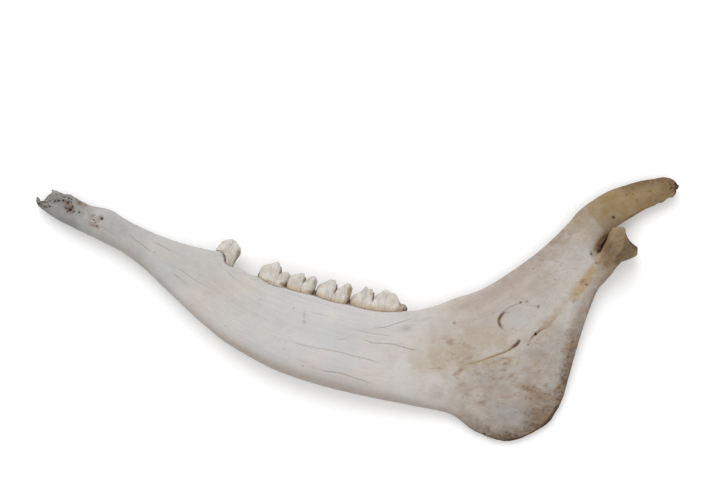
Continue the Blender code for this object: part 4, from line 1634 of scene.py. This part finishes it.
    @staticmethod
    def _pits(points: Array, normals: Array, noise: Noise) -> tuple[Array, Array]:
        """The small holes.

        Args:
            points: Points of the bone.
            normals: Their normals.
            noise: The field that makes their edges uneven.

        Returns:
            How deep each point lies in them, and how dark they are painted, with grime and painted shade.
        """
        depth, dirt_and_shade = np.zeros(len(points)), np.zeros(len(points))
        ragged = 1.0 + 0.35 * noise.value(points, 1.3)
        for pit in PITS:
            facing = ramp(normals[:, 2] if pit.inner else -normals[:, 2], 0.1, 0.5)
            gap = away(points, (pit.x, pit.y)) * ragged
            bowl = fade(gap, 0.25 * pit.radius, 1.25 * pit.radius) * facing
            depth += pit.depth * bowl
            dirt_and_shade = np.maximum(dirt_and_shade, pit.dirt_and_shade * bowl)
        return depth, dirt_and_shade

    @staticmethod
    def _bevels(points: Array) -> Array:
        """How much is worn off the rim of the notch's slot and off the crest of the ramus."""
        gap, _, place = to_line(points[:, :2], SLOT_RIM)
        rim = fade(gap, 0, 3) * ramp(place, 0, 0.3) * fade(place, 0.6, 1) * ramp(points[:, 2], 13, 15)
        gap, _, _ = to_line(points[:, :2], smooth_line(RAMUS_CREST))
        return 0.7 * rim + 1.3 * fade(gap, 0, 9) * ramp(points[:, 0], 60, 80)

    @staticmethod
    def _facet(spots: Array) -> Array:
        """How far each spot lies on the joint head's darker facet, behind its ridge."""
        gap, side, _ = to_line(spots, HEAD_RIDGE)
        near = fade(away(spots, HEAD_FACET), 13, 20)
        return ramp(side * gap, -0.3, 0.9) * near

    @staticmethod
    def _sockets(points: Array, normals: Array) -> Array:
        """Depth of the empty tooth sockets on the edge behind the first tooth.

        Args:
            points: Points of the bone.
            normals: Their normals.

        Returns:
            The depth at each point.
        """
        depth = np.zeros(len(points))
        for x, wide in EMPTY_SOCKETS:
            gap = np.hypot((points[:, 0] - x) / wide, (points[:, 2] - 17.5) / 4.6)
            depth += 2.6 * fade(gap, 0.35, 1.1) * ramp(normals[:, 1], 0.2, 0.7)
        return depth

    @staticmethod
    def _draw_seams(surface: Surface, spots: Array, up: Array) -> Array:
        """Paint the distance across the nearest crack, groove or painted shadow line, in that line's widths.

        Args:
            surface: The skin to paint.
            spots: Places (x, y) of its points.
            up: How far each point faces the inner side.

        Returns:
            How deep the lines are cut.
        """
        nearest = np.full(len(spots), 4.0)
        across = np.full(len(spots), 9.0)
        tone = np.zeros(len(spots))
        depth = np.zeros(len(spots))
        wander = 0.3 * Noise(12).fractal(surface.points, 5.0, 2)
        for seam in SEAMS:
            gap, side, place = to_line(spots, smooth_line(seam.line))
            here = ramp(place, 0.0, seam.start) * fade(place, 1.0 - seam.stop, 1.0)
            width = seam.width * (0.45 + 0.55 * here)
            closer = gap < nearest
            nearest[closer] = gap[closer]
            across[closer] = ((side * gap + wander) / width)[closer]
            tone[closer] = (seam.tone * here * up)[closer]
            depth += seam.depth * here * up * fade(gap, 0.0, 1.6 * seam.width)
        surface.paint["seam"] = np.clip(across, -9.0, 9.0)
        surface.paint["seam_tone"] = tone * ramp(4.0 - nearest, 0, 1)
        return depth

    @staticmethod
    def _hollow_shade(surface: Surface) -> Array:
        """Painted shade where the skin is hollow, most of all on the notch's walls.

        Args:
            surface: The finished skin.

        Returns:
            How much painted shade each point takes.
        """
        normals = surface.normals()
        lean = np.einsum("ij,ij->i", surface.around(surface.points) - surface.points, normals)
        hollow = np.clip(surface.around(surface.around(lean)) * 3.0, 0.0, 0.3)
        # Painted shade on the notch's steep walls, low down
        notch = fade(away(surface.points, NOTCH_WALLS), 6, 11)
        shade = notch * fade(normals[:, 2], 0.3, 0.9) * fade(surface.points[:, 2], 14, 24)
        return hollow + 0.7 * shade

    @staticmethod
    def _foramen(points: Array) -> Array:
        """Height of the foramen: a low lip in front of a floor that slopes out to the back."""
        depth_in = 16.6 - away(points, FORAMEN_BOWL, 1.45)
        front = ramp(-points[:, 0], -118, -106)
        floor = ramp(depth_in, 0, 1.2) * fade(depth_in, 3, 15)
        return front * (0.4 * hump(depth_in + 1.6, 1.8) - floor)

    @staticmethod
    def _zones(points: Array, noise: Noise) -> dict[Zone, Array]:
        """The stained and weathered patches, with uneven edges.

        Args:
            points: Points of the bone.
            noise: The field that makes the edges uneven.

        Returns:
            The strength of each zone at each point.
        """
        zones = {zone: np.zeros(len(points)) for zone in Zone}
        broad = noise.fractal(points, 11.0, 3)
        small = noise.fractal(points + 90.0, 3.0, 3)
        for patch in PATCHES:
            turn = math.radians(patch.turn)
            offset = points[:, :2] - (patch.x, patch.y)
            along = offset[:, 0] * math.cos(turn) + offset[:, 1] * math.sin(turn)
            across = offset[:, 1] * math.cos(turn) - offset[:, 0] * math.sin(turn)
            reach = np.hypot(along / patch.long, across / patch.wide)
            wander = broad if patch.wide > 10.0 else 0.4 * broad + 0.8 * small
            reach = reach + 0.4 * wander * patch.soft
            here = patch.strength * fade(reach, 1.0 - 0.75 * patch.soft, 1.0 + 0.35 * patch.soft)
            lay(zones, patch.zone, here)
        for band in BANDS:
            gap, _, place = to_line(points[:, :2], smooth_line(band.line))
            reach = gap / band.reach + 0.2 * broad + 0.25 * small
            ends = ramp(place, 0.0, band.ends) * fade(place, 1.0 - band.ends, 1.0)
            here = band.strength * ends * fade(reach, 0.15, 1)
            lay(zones, band.zone, here)
        return zones

    @staticmethod
    def _lay_down(surface: Surface) -> None:
        """Lower the bone onto the floor as the frame's node is, with small flats where it rests."""
        surface.points[:, 2] = np.maximum(surface.points[:, 2] - REST_CUT, 0.0)


# Height of the teeth's middle plane, and the root of a tooth that stands deep in the bone
TOOTH_LEVEL = 18.5 - REST_CUT
DEEP_ROOT = (
    RootRing(-8.0, 0.5, 0.42, 0.62), RootRing(-4.0, 0.5, 0.455, 0.76), RootRing(-1.2, 0.5, 0.47, 0.88),
)


@dataclass
class CheekTooth:
    """One cheek tooth, built from the outline of its crown as seen from the inner side.

    Along its row a tooth is measured by u from its foot, and up its crown by h. The crest is the top
    of the inner ridge. waists are the places between its lobes.
    """

    name: str
    foot: Pair
    lean: float
    crest: Line
    end: Pair
    wide: float
    waists: tuple[float, ...] = ()
    marks: tuple[Mark, ...] = ()
    root: tuple[RootRing, ...] = DEEP_ROOT
    sag: float = 0.0
    heel: float = 99.0
    neck: float = 0.93
    band: float = 1.0
    line: float = 0.6
    soft: int = 1
    seed: int = 1
    spacing: float = 0.24

    def __post_init__(self) -> None:
        """Work out the tooth's directions and its lobes' borders."""
        turn = math.radians(self.lean)
        self.row = np.array([math.cos(turn), -math.sin(turn), 0.0])
        self.rise = np.array([math.sin(turn), math.cos(turn), 0.0])
        self.front, self.back = self.crest[0][0], self.crest[-1][0]
        self.length = self.back - self.front
        self.borders = np.array([self.front, *self.waists, self.back])

    def build(self, material: bpy.types.Material) -> Item:
        """Make, paint and dress the tooth.

        Args:
            material: The enamel.

        Returns:
            The finished object.
        """
        surface = Surface(self._skin())
        surface.smooth(self.soft)
        place = self._place(surface.points)
        stretched = place * np.array([1.0, 0.22, 0.6])
        ripple = 0.11 * Noise(self.seed).fractal(stretched, 1.7, 2)
        surface.push(ripple + 0.1 * Noise(4).fractal(place, 3.0, 2))
        self._paint(surface)
        item = surface.to_object(self.name)
        item.data.materials.append(material)
        LOG.info("%s: %d faces", self.name, len(surface.faces))
        return item

    def _base(self, u: Array) -> Array:
        """Height of the crown's lower edge along the tooth."""
        share = np.clip((u - self.front) / self.length, 0.0, 1.0)
        return self.end[1] * share + self.sag * 4.0 * share * (1.0 - share)

    def _crest(self, u: Array) -> Array:
        """Height of the inner ridge along the tooth."""
        table = np.array(self.crest)
        return np.interp(u, table[:, 0], table[:, 1])

    def _half_width(self, u: Array, inner: bool) -> Array:
        """Half the tooth's width along it, with ribs and the waists between lobes.

        Args:
            u: Places along the tooth.
            inner: Whether the inner wall is meant.

        Returns:
            The distance from the middle plane.
        """
        share = np.clip(2.0 * (u - self.front) / self.length - 1.0, -1.0, 1.0)
        width = 0.5 * self.wide * (1.0 - np.abs(share) ** 5) ** 0.42
        width = width * (1.0 - 0.36 * ramp(u, self.heel - 1.0, self.heel + 1.0))
        for waist in self.waists:
            depth, reach = (0.13, 1.5) if inner else (0.42, 3.2)
            width = width * (1.0 - depth * hump(u - waist, reach))
        if inner:
            for low, high in itertools.pairwise(self.borders):
                inside = [c for c in self.crest if low < c[0] < high]
                peak = max(inside or self.crest, key=lambda c: c[1])[0]
                for rise, shift, reach in ((0.8, 0.0, 1.1), (-0.7, 2.6, 1.2), (-0.4, -2.8, 1.2)):
                    width = width + rise * hump(u - peak + shift, reach)
            width = width + 0.05 * np.sin(2.9 * u + 2.2 * np.sin(0.8 * u + self.seed))
        return np.maximum(width, 0.4)

    def _top(self, u: Array, across: Array) -> Array:
        """Height of the chewing surface: two ridges with a valley between them.

        Args:
            u: Places along the tooth.
            across: Places across it, from -1 at its outer wall to 1 at its inner one.

        Returns:
            The heights.
        """
        lobe = np.clip(np.searchsorted(self.borders, u) - 1, 0, len(self.borders) - 2)
        low, high = self.borders[lobe], self.borders[lobe + 1]
        place = 2.0 * (u - low) / (high - low) - 1.0
        inner = self._crest(u)
        outer = self._crest(u - 1.6) - 1.8
        crescent = -0.62 + 0.85 * place**2
        floor = np.minimum(inner, outer) - 3.2
        near_inner = np.clip(1.0 - np.abs(across - 0.74) / 0.5, 0.0, 1.0) ** 0.85
        near_outer = np.clip(1.0 - np.abs(across - crescent) / 0.42, 0.0, 1.0) ** 0.85
        height = np.maximum(floor + (inner - floor) * near_inner, floor + (outer - floor) * near_outer)
        return np.maximum(height, self._base(u) + 1.5)

    def _skin(self) -> Skin:
        """The tooth as a closed skin: root, neck, wall and chewing surface."""
        half = max(24, round(self.length / self.spacing))
        there = np.linspace(0.0, math.pi, half + 1)
        turn = np.concatenate([there, -there[-2:0:-1]])
        share = 0.5 - 0.5 * np.cos(turn) * (1.0 - 0.25 * np.sin(turn) ** 2)
        u = self.front + self.length * np.clip(share, 0.0, 1.0)
        inner = np.sin(turn) >= 0.0
        width = np.where(inner, self._half_width(u, True), -self._half_width(u, False))
        width[[0, half]] = 0.0
        middle = 0.5 * (self.front + self.back)
        base = self._base(u)
        rings = []
        for ring in self.root:
            centre = self.front + ring.middle * self.length
            along = centre + (u - middle) * 2.0 * ring.long
            rings.append(self._spot(along, base * ring.long + ring.h, width * ring.wide))
        rim = self._top(u, np.sign(width) * 0.97)
        for step in np.linspace(0.0, 1.0, 14):
            belly = math.sin(min(1.0, step * 1.7) * math.pi * 0.5)
            swell = self.neck + (1.0 - self.neck) * belly - 0.05 * step**3
            along = middle + (u - middle) * (self.neck + (1.0 - self.neck) * min(1.0, step * 2.0))
            rings.append(self._spot(along, base + (rim - base) * step, width * swell))
        for scale in np.linspace(0.96, 0.0, 24):
            across = np.sign(width) * scale
            rings.append(self._spot(u, self._top(u, across), width * 0.95 * scale))
        return self._close(np.array(rings), half)

    def _spot(self, u: Array, h: Array, w: Array) -> Array:
        """Places in the frame for places along, up and across the tooth."""
        start = np.array([self.foot[0], self.foot[1], TOOTH_LEVEL])
        return start + u[:, None] * self.row + h[:, None] * self.rise + w[:, None] * np.array([0.0, 0.0, 1.0])

    @staticmethod
    def _close(rings: Array, half: int) -> Skin:
        """A skin over the rings, zipped shut along the tooth at both ends.

        Args:
            rings: Points by ring, place around it and axis.
            half: Where the outer wall starts in a ring.

        Returns:
            The closed skin.
        """
        levels, count, _ = rings.shape
        faces: Faces = []
        last = (levels - 2) * count
        for row in range(0, last, count):
            for k in range(count):
                beside = (k + 1) % count
                faces.append((row + k, row + beside, row + count + beside, row + count + k))
        for row, flip in ((0, True), (last, False)):
            for k in range(half):
                one, two = k, k + 1
                three, four = (count - k - 1) % count, (count - k) % count
                face = tuple(dict.fromkeys((row + one, row + two, row + three, row + four)))
                faces.append(tuple(reversed(face)) if flip else face)
        return outward(rings[:-1].reshape(-1, 3), faces)

    def _place(self, points: Array) -> Array:
        """Each point's place along, up and across the tooth."""
        offset = points - np.array([self.foot[0], self.foot[1], TOOTH_LEVEL])
        return np.column_stack([offset @ self.row, offset @ self.rise, offset[:, 2]])

    def _paint(self, surface: Surface) -> None:
        """Paint the yellowed neck, the top's dentine, the marks, and grime and shade between lobes and teeth.

        Args:
            surface: The skin to paint.
        """
        place = self._place(surface.points)
        u, h, w = place.T
        normals = surface.normals()
        wander = Noise(self.seed + 40).fractal(surface.points, 2.5, 3)
        above = h - self._base(u)
        crest = self._crest(u)
        zones = {zone: np.zeros(len(u)) for zone in ToothZone}
        zones[ToothZone.NECK] = self.band * fade(above + 0.8 * wander, 1.6, 4.2)
        deep = ramp(crest - h, 0.8, 2.6) * ramp(normals @ self.rise, 0.1, 0.5)
        deep = deep * fade(np.abs(w / self.wide), 0.3, 0.42)
        zones[ToothZone.WORN_AND_SHADE] = 0.85 * deep
        # The ends next to the gaps, and a thin line along the base, take grime and painted shade
        ends = np.minimum(u - self.front, self.back - u)
        between = fade(ends, 0.3, 2.0) * fade(above, 2.0, 7.0) * (self.line > 0.0)
        zones[ToothZone.DIRT_AND_SHADE] = np.maximum(0.95 * between, self.line * fade(np.abs(above), 0.2, 0.9))
        # The notches between lobes take painted shade and brown dentine
        for waist in self.waists:
            floor = self._crest(np.array([waist]))[0]
            gap = np.hypot((u - waist) / 1.1, (h - floor) / 2.6)
            lay(zones, ToothZone.WORN_AND_SHADE, 0.9 * fade(gap, 0.3, 1.1))
            outer = (w < 0.25 * self.wide) * fade(np.abs(u - waist), 0.8, 2.6) * ramp(h - floor, -3.0, 0.0)
            lay(zones, ToothZone.WORN_AND_SHADE, 0.7 * outer)
        for mark in self.marks:
            gap = np.hypot((u - mark.u) / mark.along, (h - mark.h) / mark.up) + 0.25 * wander
            lay(zones, mark.zone, mark.strength * fade(gap, 0.4, 1.1))
        for zone, values in zones.items():
            surface.paint[zone.value] = values
        surface.paint["crown"] = place


WORN_AND_SHADE, GOLD, DIRT_AND_SHADE = ToothZone.WORN_AND_SHADE, ToothZone.GOLD, ToothZone.DIRT_AND_SHADE
# The dark marks at the crowns' back ends, beside the gaps between teeth, are grime and painted shade
TEETH = (
    CheekTooth(
        "premolar_2", (-107.2, 42.1), 4,
        ((0, 0.2), (1.5, 3.3), (4.3, 7), (7.7, 8.9), (11.3, 9.4), (14.4, 8.4), (16.4, 5.8), (18, 3),
         (18.7, 0.8)),
        (18.7, -1.2), 11, seed=21, band=0.15, line=0, soft=9, neck=0.97,
        root=(RootRing(-20, 0.6, 0.06, 0.6), RootRing(-11, 0.555, 0.135, 0.8),
              RootRing(-7.4, 0.59, 0.21, 0.88), RootRing(-4, 0.625, 0.275, 0.93),
              RootRing(-1.6, 0.645, 0.355, 0.96)),
        # Painted shade: brown on the root's flanks, under the crown and in a crease; the dark mark paints a
        # small hole
        marks=(Mark(DIRT_AND_SHADE, 6.6, -3.2, 0.9, 1.5, 0.9), Mark(WORN_AND_SHADE, 5.6, -0.8, 2.6, 1, 0.55),
               Mark(WORN_AND_SHADE, 7.8, -7, 0.9, 4.5, 0.75), Mark(WORN_AND_SHADE, 11.4, 4.6, 0.7, 1.1, 0.6),
               Mark(WORN_AND_SHADE, 12.6, 6.6, 0.5, 1.8, 0.4),
               Mark(WORN_AND_SHADE, 17.4, -2.4, 2.4, 4.6, 0.85), Mark(WORN_AND_SHADE, 15.2, -6.6, 1.9, 3.4, 0.8),
               Mark(WORN_AND_SHADE, 13, -10, 1.7, 3, 0.75), Mark(WORN_AND_SHADE, 9.6, -11.8, 3.4, 1.4, 0.8)),
    ),
    CheekTooth(
        "premolar_4", (-76, 22.1), 14,
        ((0, 1), (0.4, 4), (1.5, 8.1), (3.1, 10.2), (7.6, 11.9), (10.1, 13.9), (12.4, 14.9), (14.4, 13.6),
         (15.5, 10.8), (15.9, 6.9), (17.6, 7.4), (19.9, 9.1), (22.4, 8.9), (23.7, 7.2)),
        (23.7, -3.2), 13, waists=(15.9,), sag=-2.5, seed=22, band=0.6,
        marks=(Mark(GOLD, 7.5, -1.6, 6.5, 1.1, 0.8), Mark(WORN_AND_SHADE, 20, -1.2, 2.9, 1.7, 0.8),
               Mark(DIRT_AND_SHADE, 22.2, -0.6, 1.1, 3.4, 0.8)),
    ),
    CheekTooth(
        "molar_1", (-54.8, 14.1), 14,
        ((-0.4, 4), (1.7, 9.8), (5.1, 11.5), (8.6, 13), (10.7, 13.7), (12, 12.4), (12.5, 7.8), (13.9, 9.6),
         (16.5, 12.4), (17.9, 13.3), (20.1, 13.3), (21.6, 11.5), (22, 8.2)),
        (21.7, -1.5), 15, waists=(12.5,), sag=-0.9, seed=23,
        marks=(Mark(WORN_AND_SHADE, 20.3, 9, 0.9, 3, 0.45), Mark(WORN_AND_SHADE, 18.5, 0.6, 3.4, 1.3, 0.65),
               Mark(DIRT_AND_SHADE, 20.8, 0.4, 0.9, 2.8, 0.8)),
    ),
    CheekTooth(
        "molar_2", (-33, 8.1), 14,
        ((-0.4, 3), (0.3, 5.5), (0.9, 8.5), (2.8, 10), (5.7, 11.9), (7.4, 13.7), (9.1, 14.7), (10.2, 14.1),
         (11.5, 15), (13, 14.3), (13.9, 11.2), (14.1, 6.2), (15.4, 8.2), (17.9, 11.1), (20.5, 13.9),
         (22.4, 15.2), (24.1, 14.8), (25.4, 13), (26.2, 8.8)),
        (26.2, -1.4), 16.5, waists=(14.1,), sag=-1.2, seed=24,
        marks=(Mark(GOLD, 25, 8.5, 1.9, 7, 1), Mark(GOLD, 24.6, 2.6, 1.4, 2.5, 0.7),
               Mark(WORN_AND_SHADE, 25.2, 3.2, 0.8, 3, 0.7), Mark(DIRT_AND_SHADE, 25, 0, 0.8, 2.4, 0.8)),
    ),
    CheekTooth(
        "molar_3", (-7.8, 1.1), 8,
        ((0, 1.5), (0.7, 3.9), (2.1, 7.3), (4.8, 9.3), (7.8, 10.8), (9.6, 13.2), (10.9, 15.3), (12.3, 15.2),
         (13.3, 13.7), (16.4, 14.4), (17.1, 10), (17.4, 6), (18.8, 9.1), (21.7, 11.7), (24.1, 13.7),
         (26, 15), (28.4, 14.8), (30, 13.4), (32.7, 13.2), (34.8, 11.9), (36.8, 8.9), (38.3, 6.2),
         (40.1, 6.5), (42.6, 6), (44, 3.5)),
        (44, 1.1), 15.5, waists=(17.4, 38.3), sag=-2.6, heel=38.3, seed=25,
        marks=(Mark(WORN_AND_SHADE, 41.6, 3.6, 4, 5, 0.6), Mark(WORN_AND_SHADE, 15.2, 11.5, 1.3, 3.6, 0.4)),
    ),
)


@dataclass(frozen=True)
class Studio:
    """The pale floor, the soft lights and the camera."""

    elevation: float = 82.0
    target: Triple = (0.9, 50.0, 20.0)
    distance: float = 1275.0
    lens: float = 85.0
    floor_size: float = 9.0
    floor_colour: Colour = (0.94, 0.94, 0.94, 1.0)

    def build(self) -> None:
        """Set up the whole studio."""
        self._floor()
        self._lights()
        self._camera()

    def _floor(self) -> None:
        """A pale matt floor at height 0."""
        bpy.ops.mesh.primitive_plane_add(size=self.floor_size)
        floor = bpy.context.object
        floor.name = "studio_floor"
        material, n, shader = start_material("pale_floor")
        n.put(shader, {"Base Color": self.floor_colour, "Roughness": 0.9, "Specular IOR Level": 0.1})
        floor.data.materials.append(material)

    def _area(self, name: str, place: Triple, size: float, power: float) -> None:
        """One soft round light that looks at the bone.

        Args:
            name: The light's name.
            place: Where it stands, in metres.
            size: Its width in metres.
            power: Its power in watts.
        """
        light = bpy.data.lights.new(name, "AREA")
        light.shape = "DISK"
        light.size = size
        light.energy = power
        item = bpy.data.objects.new(name, light)
        item.location = place
        item.rotation_euler = (-Vector(place)).to_track_quat("-Z", "Y").to_euler()
        bpy.context.scene.collection.objects.link(item)

    def _lights(self) -> None:
        """A large key light beyond the chewing edge, a weak fill and a white surround."""
        self._area("key", (-0.35, 1.3, 1.5), 2.0, 22.0)
        self._area("fill", (0.3, -1.0, 1.7), 1.8, 8.0)
        world = bpy.data.worlds.new("white_surround")
        bpy.context.scene.world = world
        world.use_nodes = True
        back = world.node_tree.nodes["Background"]
        back.inputs["Color"].default_value = (1.0, 1.0, 1.0, 1.0)
        back.inputs["Strength"].default_value = 0.82

    def _camera(self) -> None:
        """The camera, which looks down on the bone from a little below the picture's middle."""
        tilt = math.radians(self.elevation)
        back = Vector((0.0, -math.cos(tilt), math.sin(tilt)))
        data = bpy.data.cameras.new("camera")
        data.lens = self.lens
        data.sensor_width = 36.0
        data.sensor_fit = "HORIZONTAL"
        data.clip_start = 0.05
        data.clip_end = 50.0
        camera = bpy.data.objects.new("camera", data)
        camera.location = (Vector(self.target) + back * self.distance) * MM
        camera.rotation_euler = (math.radians(90.0 - self.elevation), 0.0, 0.0)
        bpy.context.scene.collection.objects.link(camera)
        bpy.context.scene.camera = camera
        bpy.context.scene.view_settings.view_transform = "Standard"


def carry(piece: Item) -> None:
    """Tie a finished piece to the frame."""
    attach(piece, "root")
    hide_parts("jawbone")


def main() -> None:
    """Build every piece and the studio."""
    logging.basicConfig(level=logging.INFO, format="%(name)s %(message)s")
    effects = SharedEffects.build()
    Studio().build()
    jaw = JawBone().build(BoneFinish(), effects)
    carry(jaw)
    enamel = EnamelFinish().material(effects)
    for tooth in TEETH:
        carry(tooth.build(enamel))


if __name__ == "__main__":
    main()
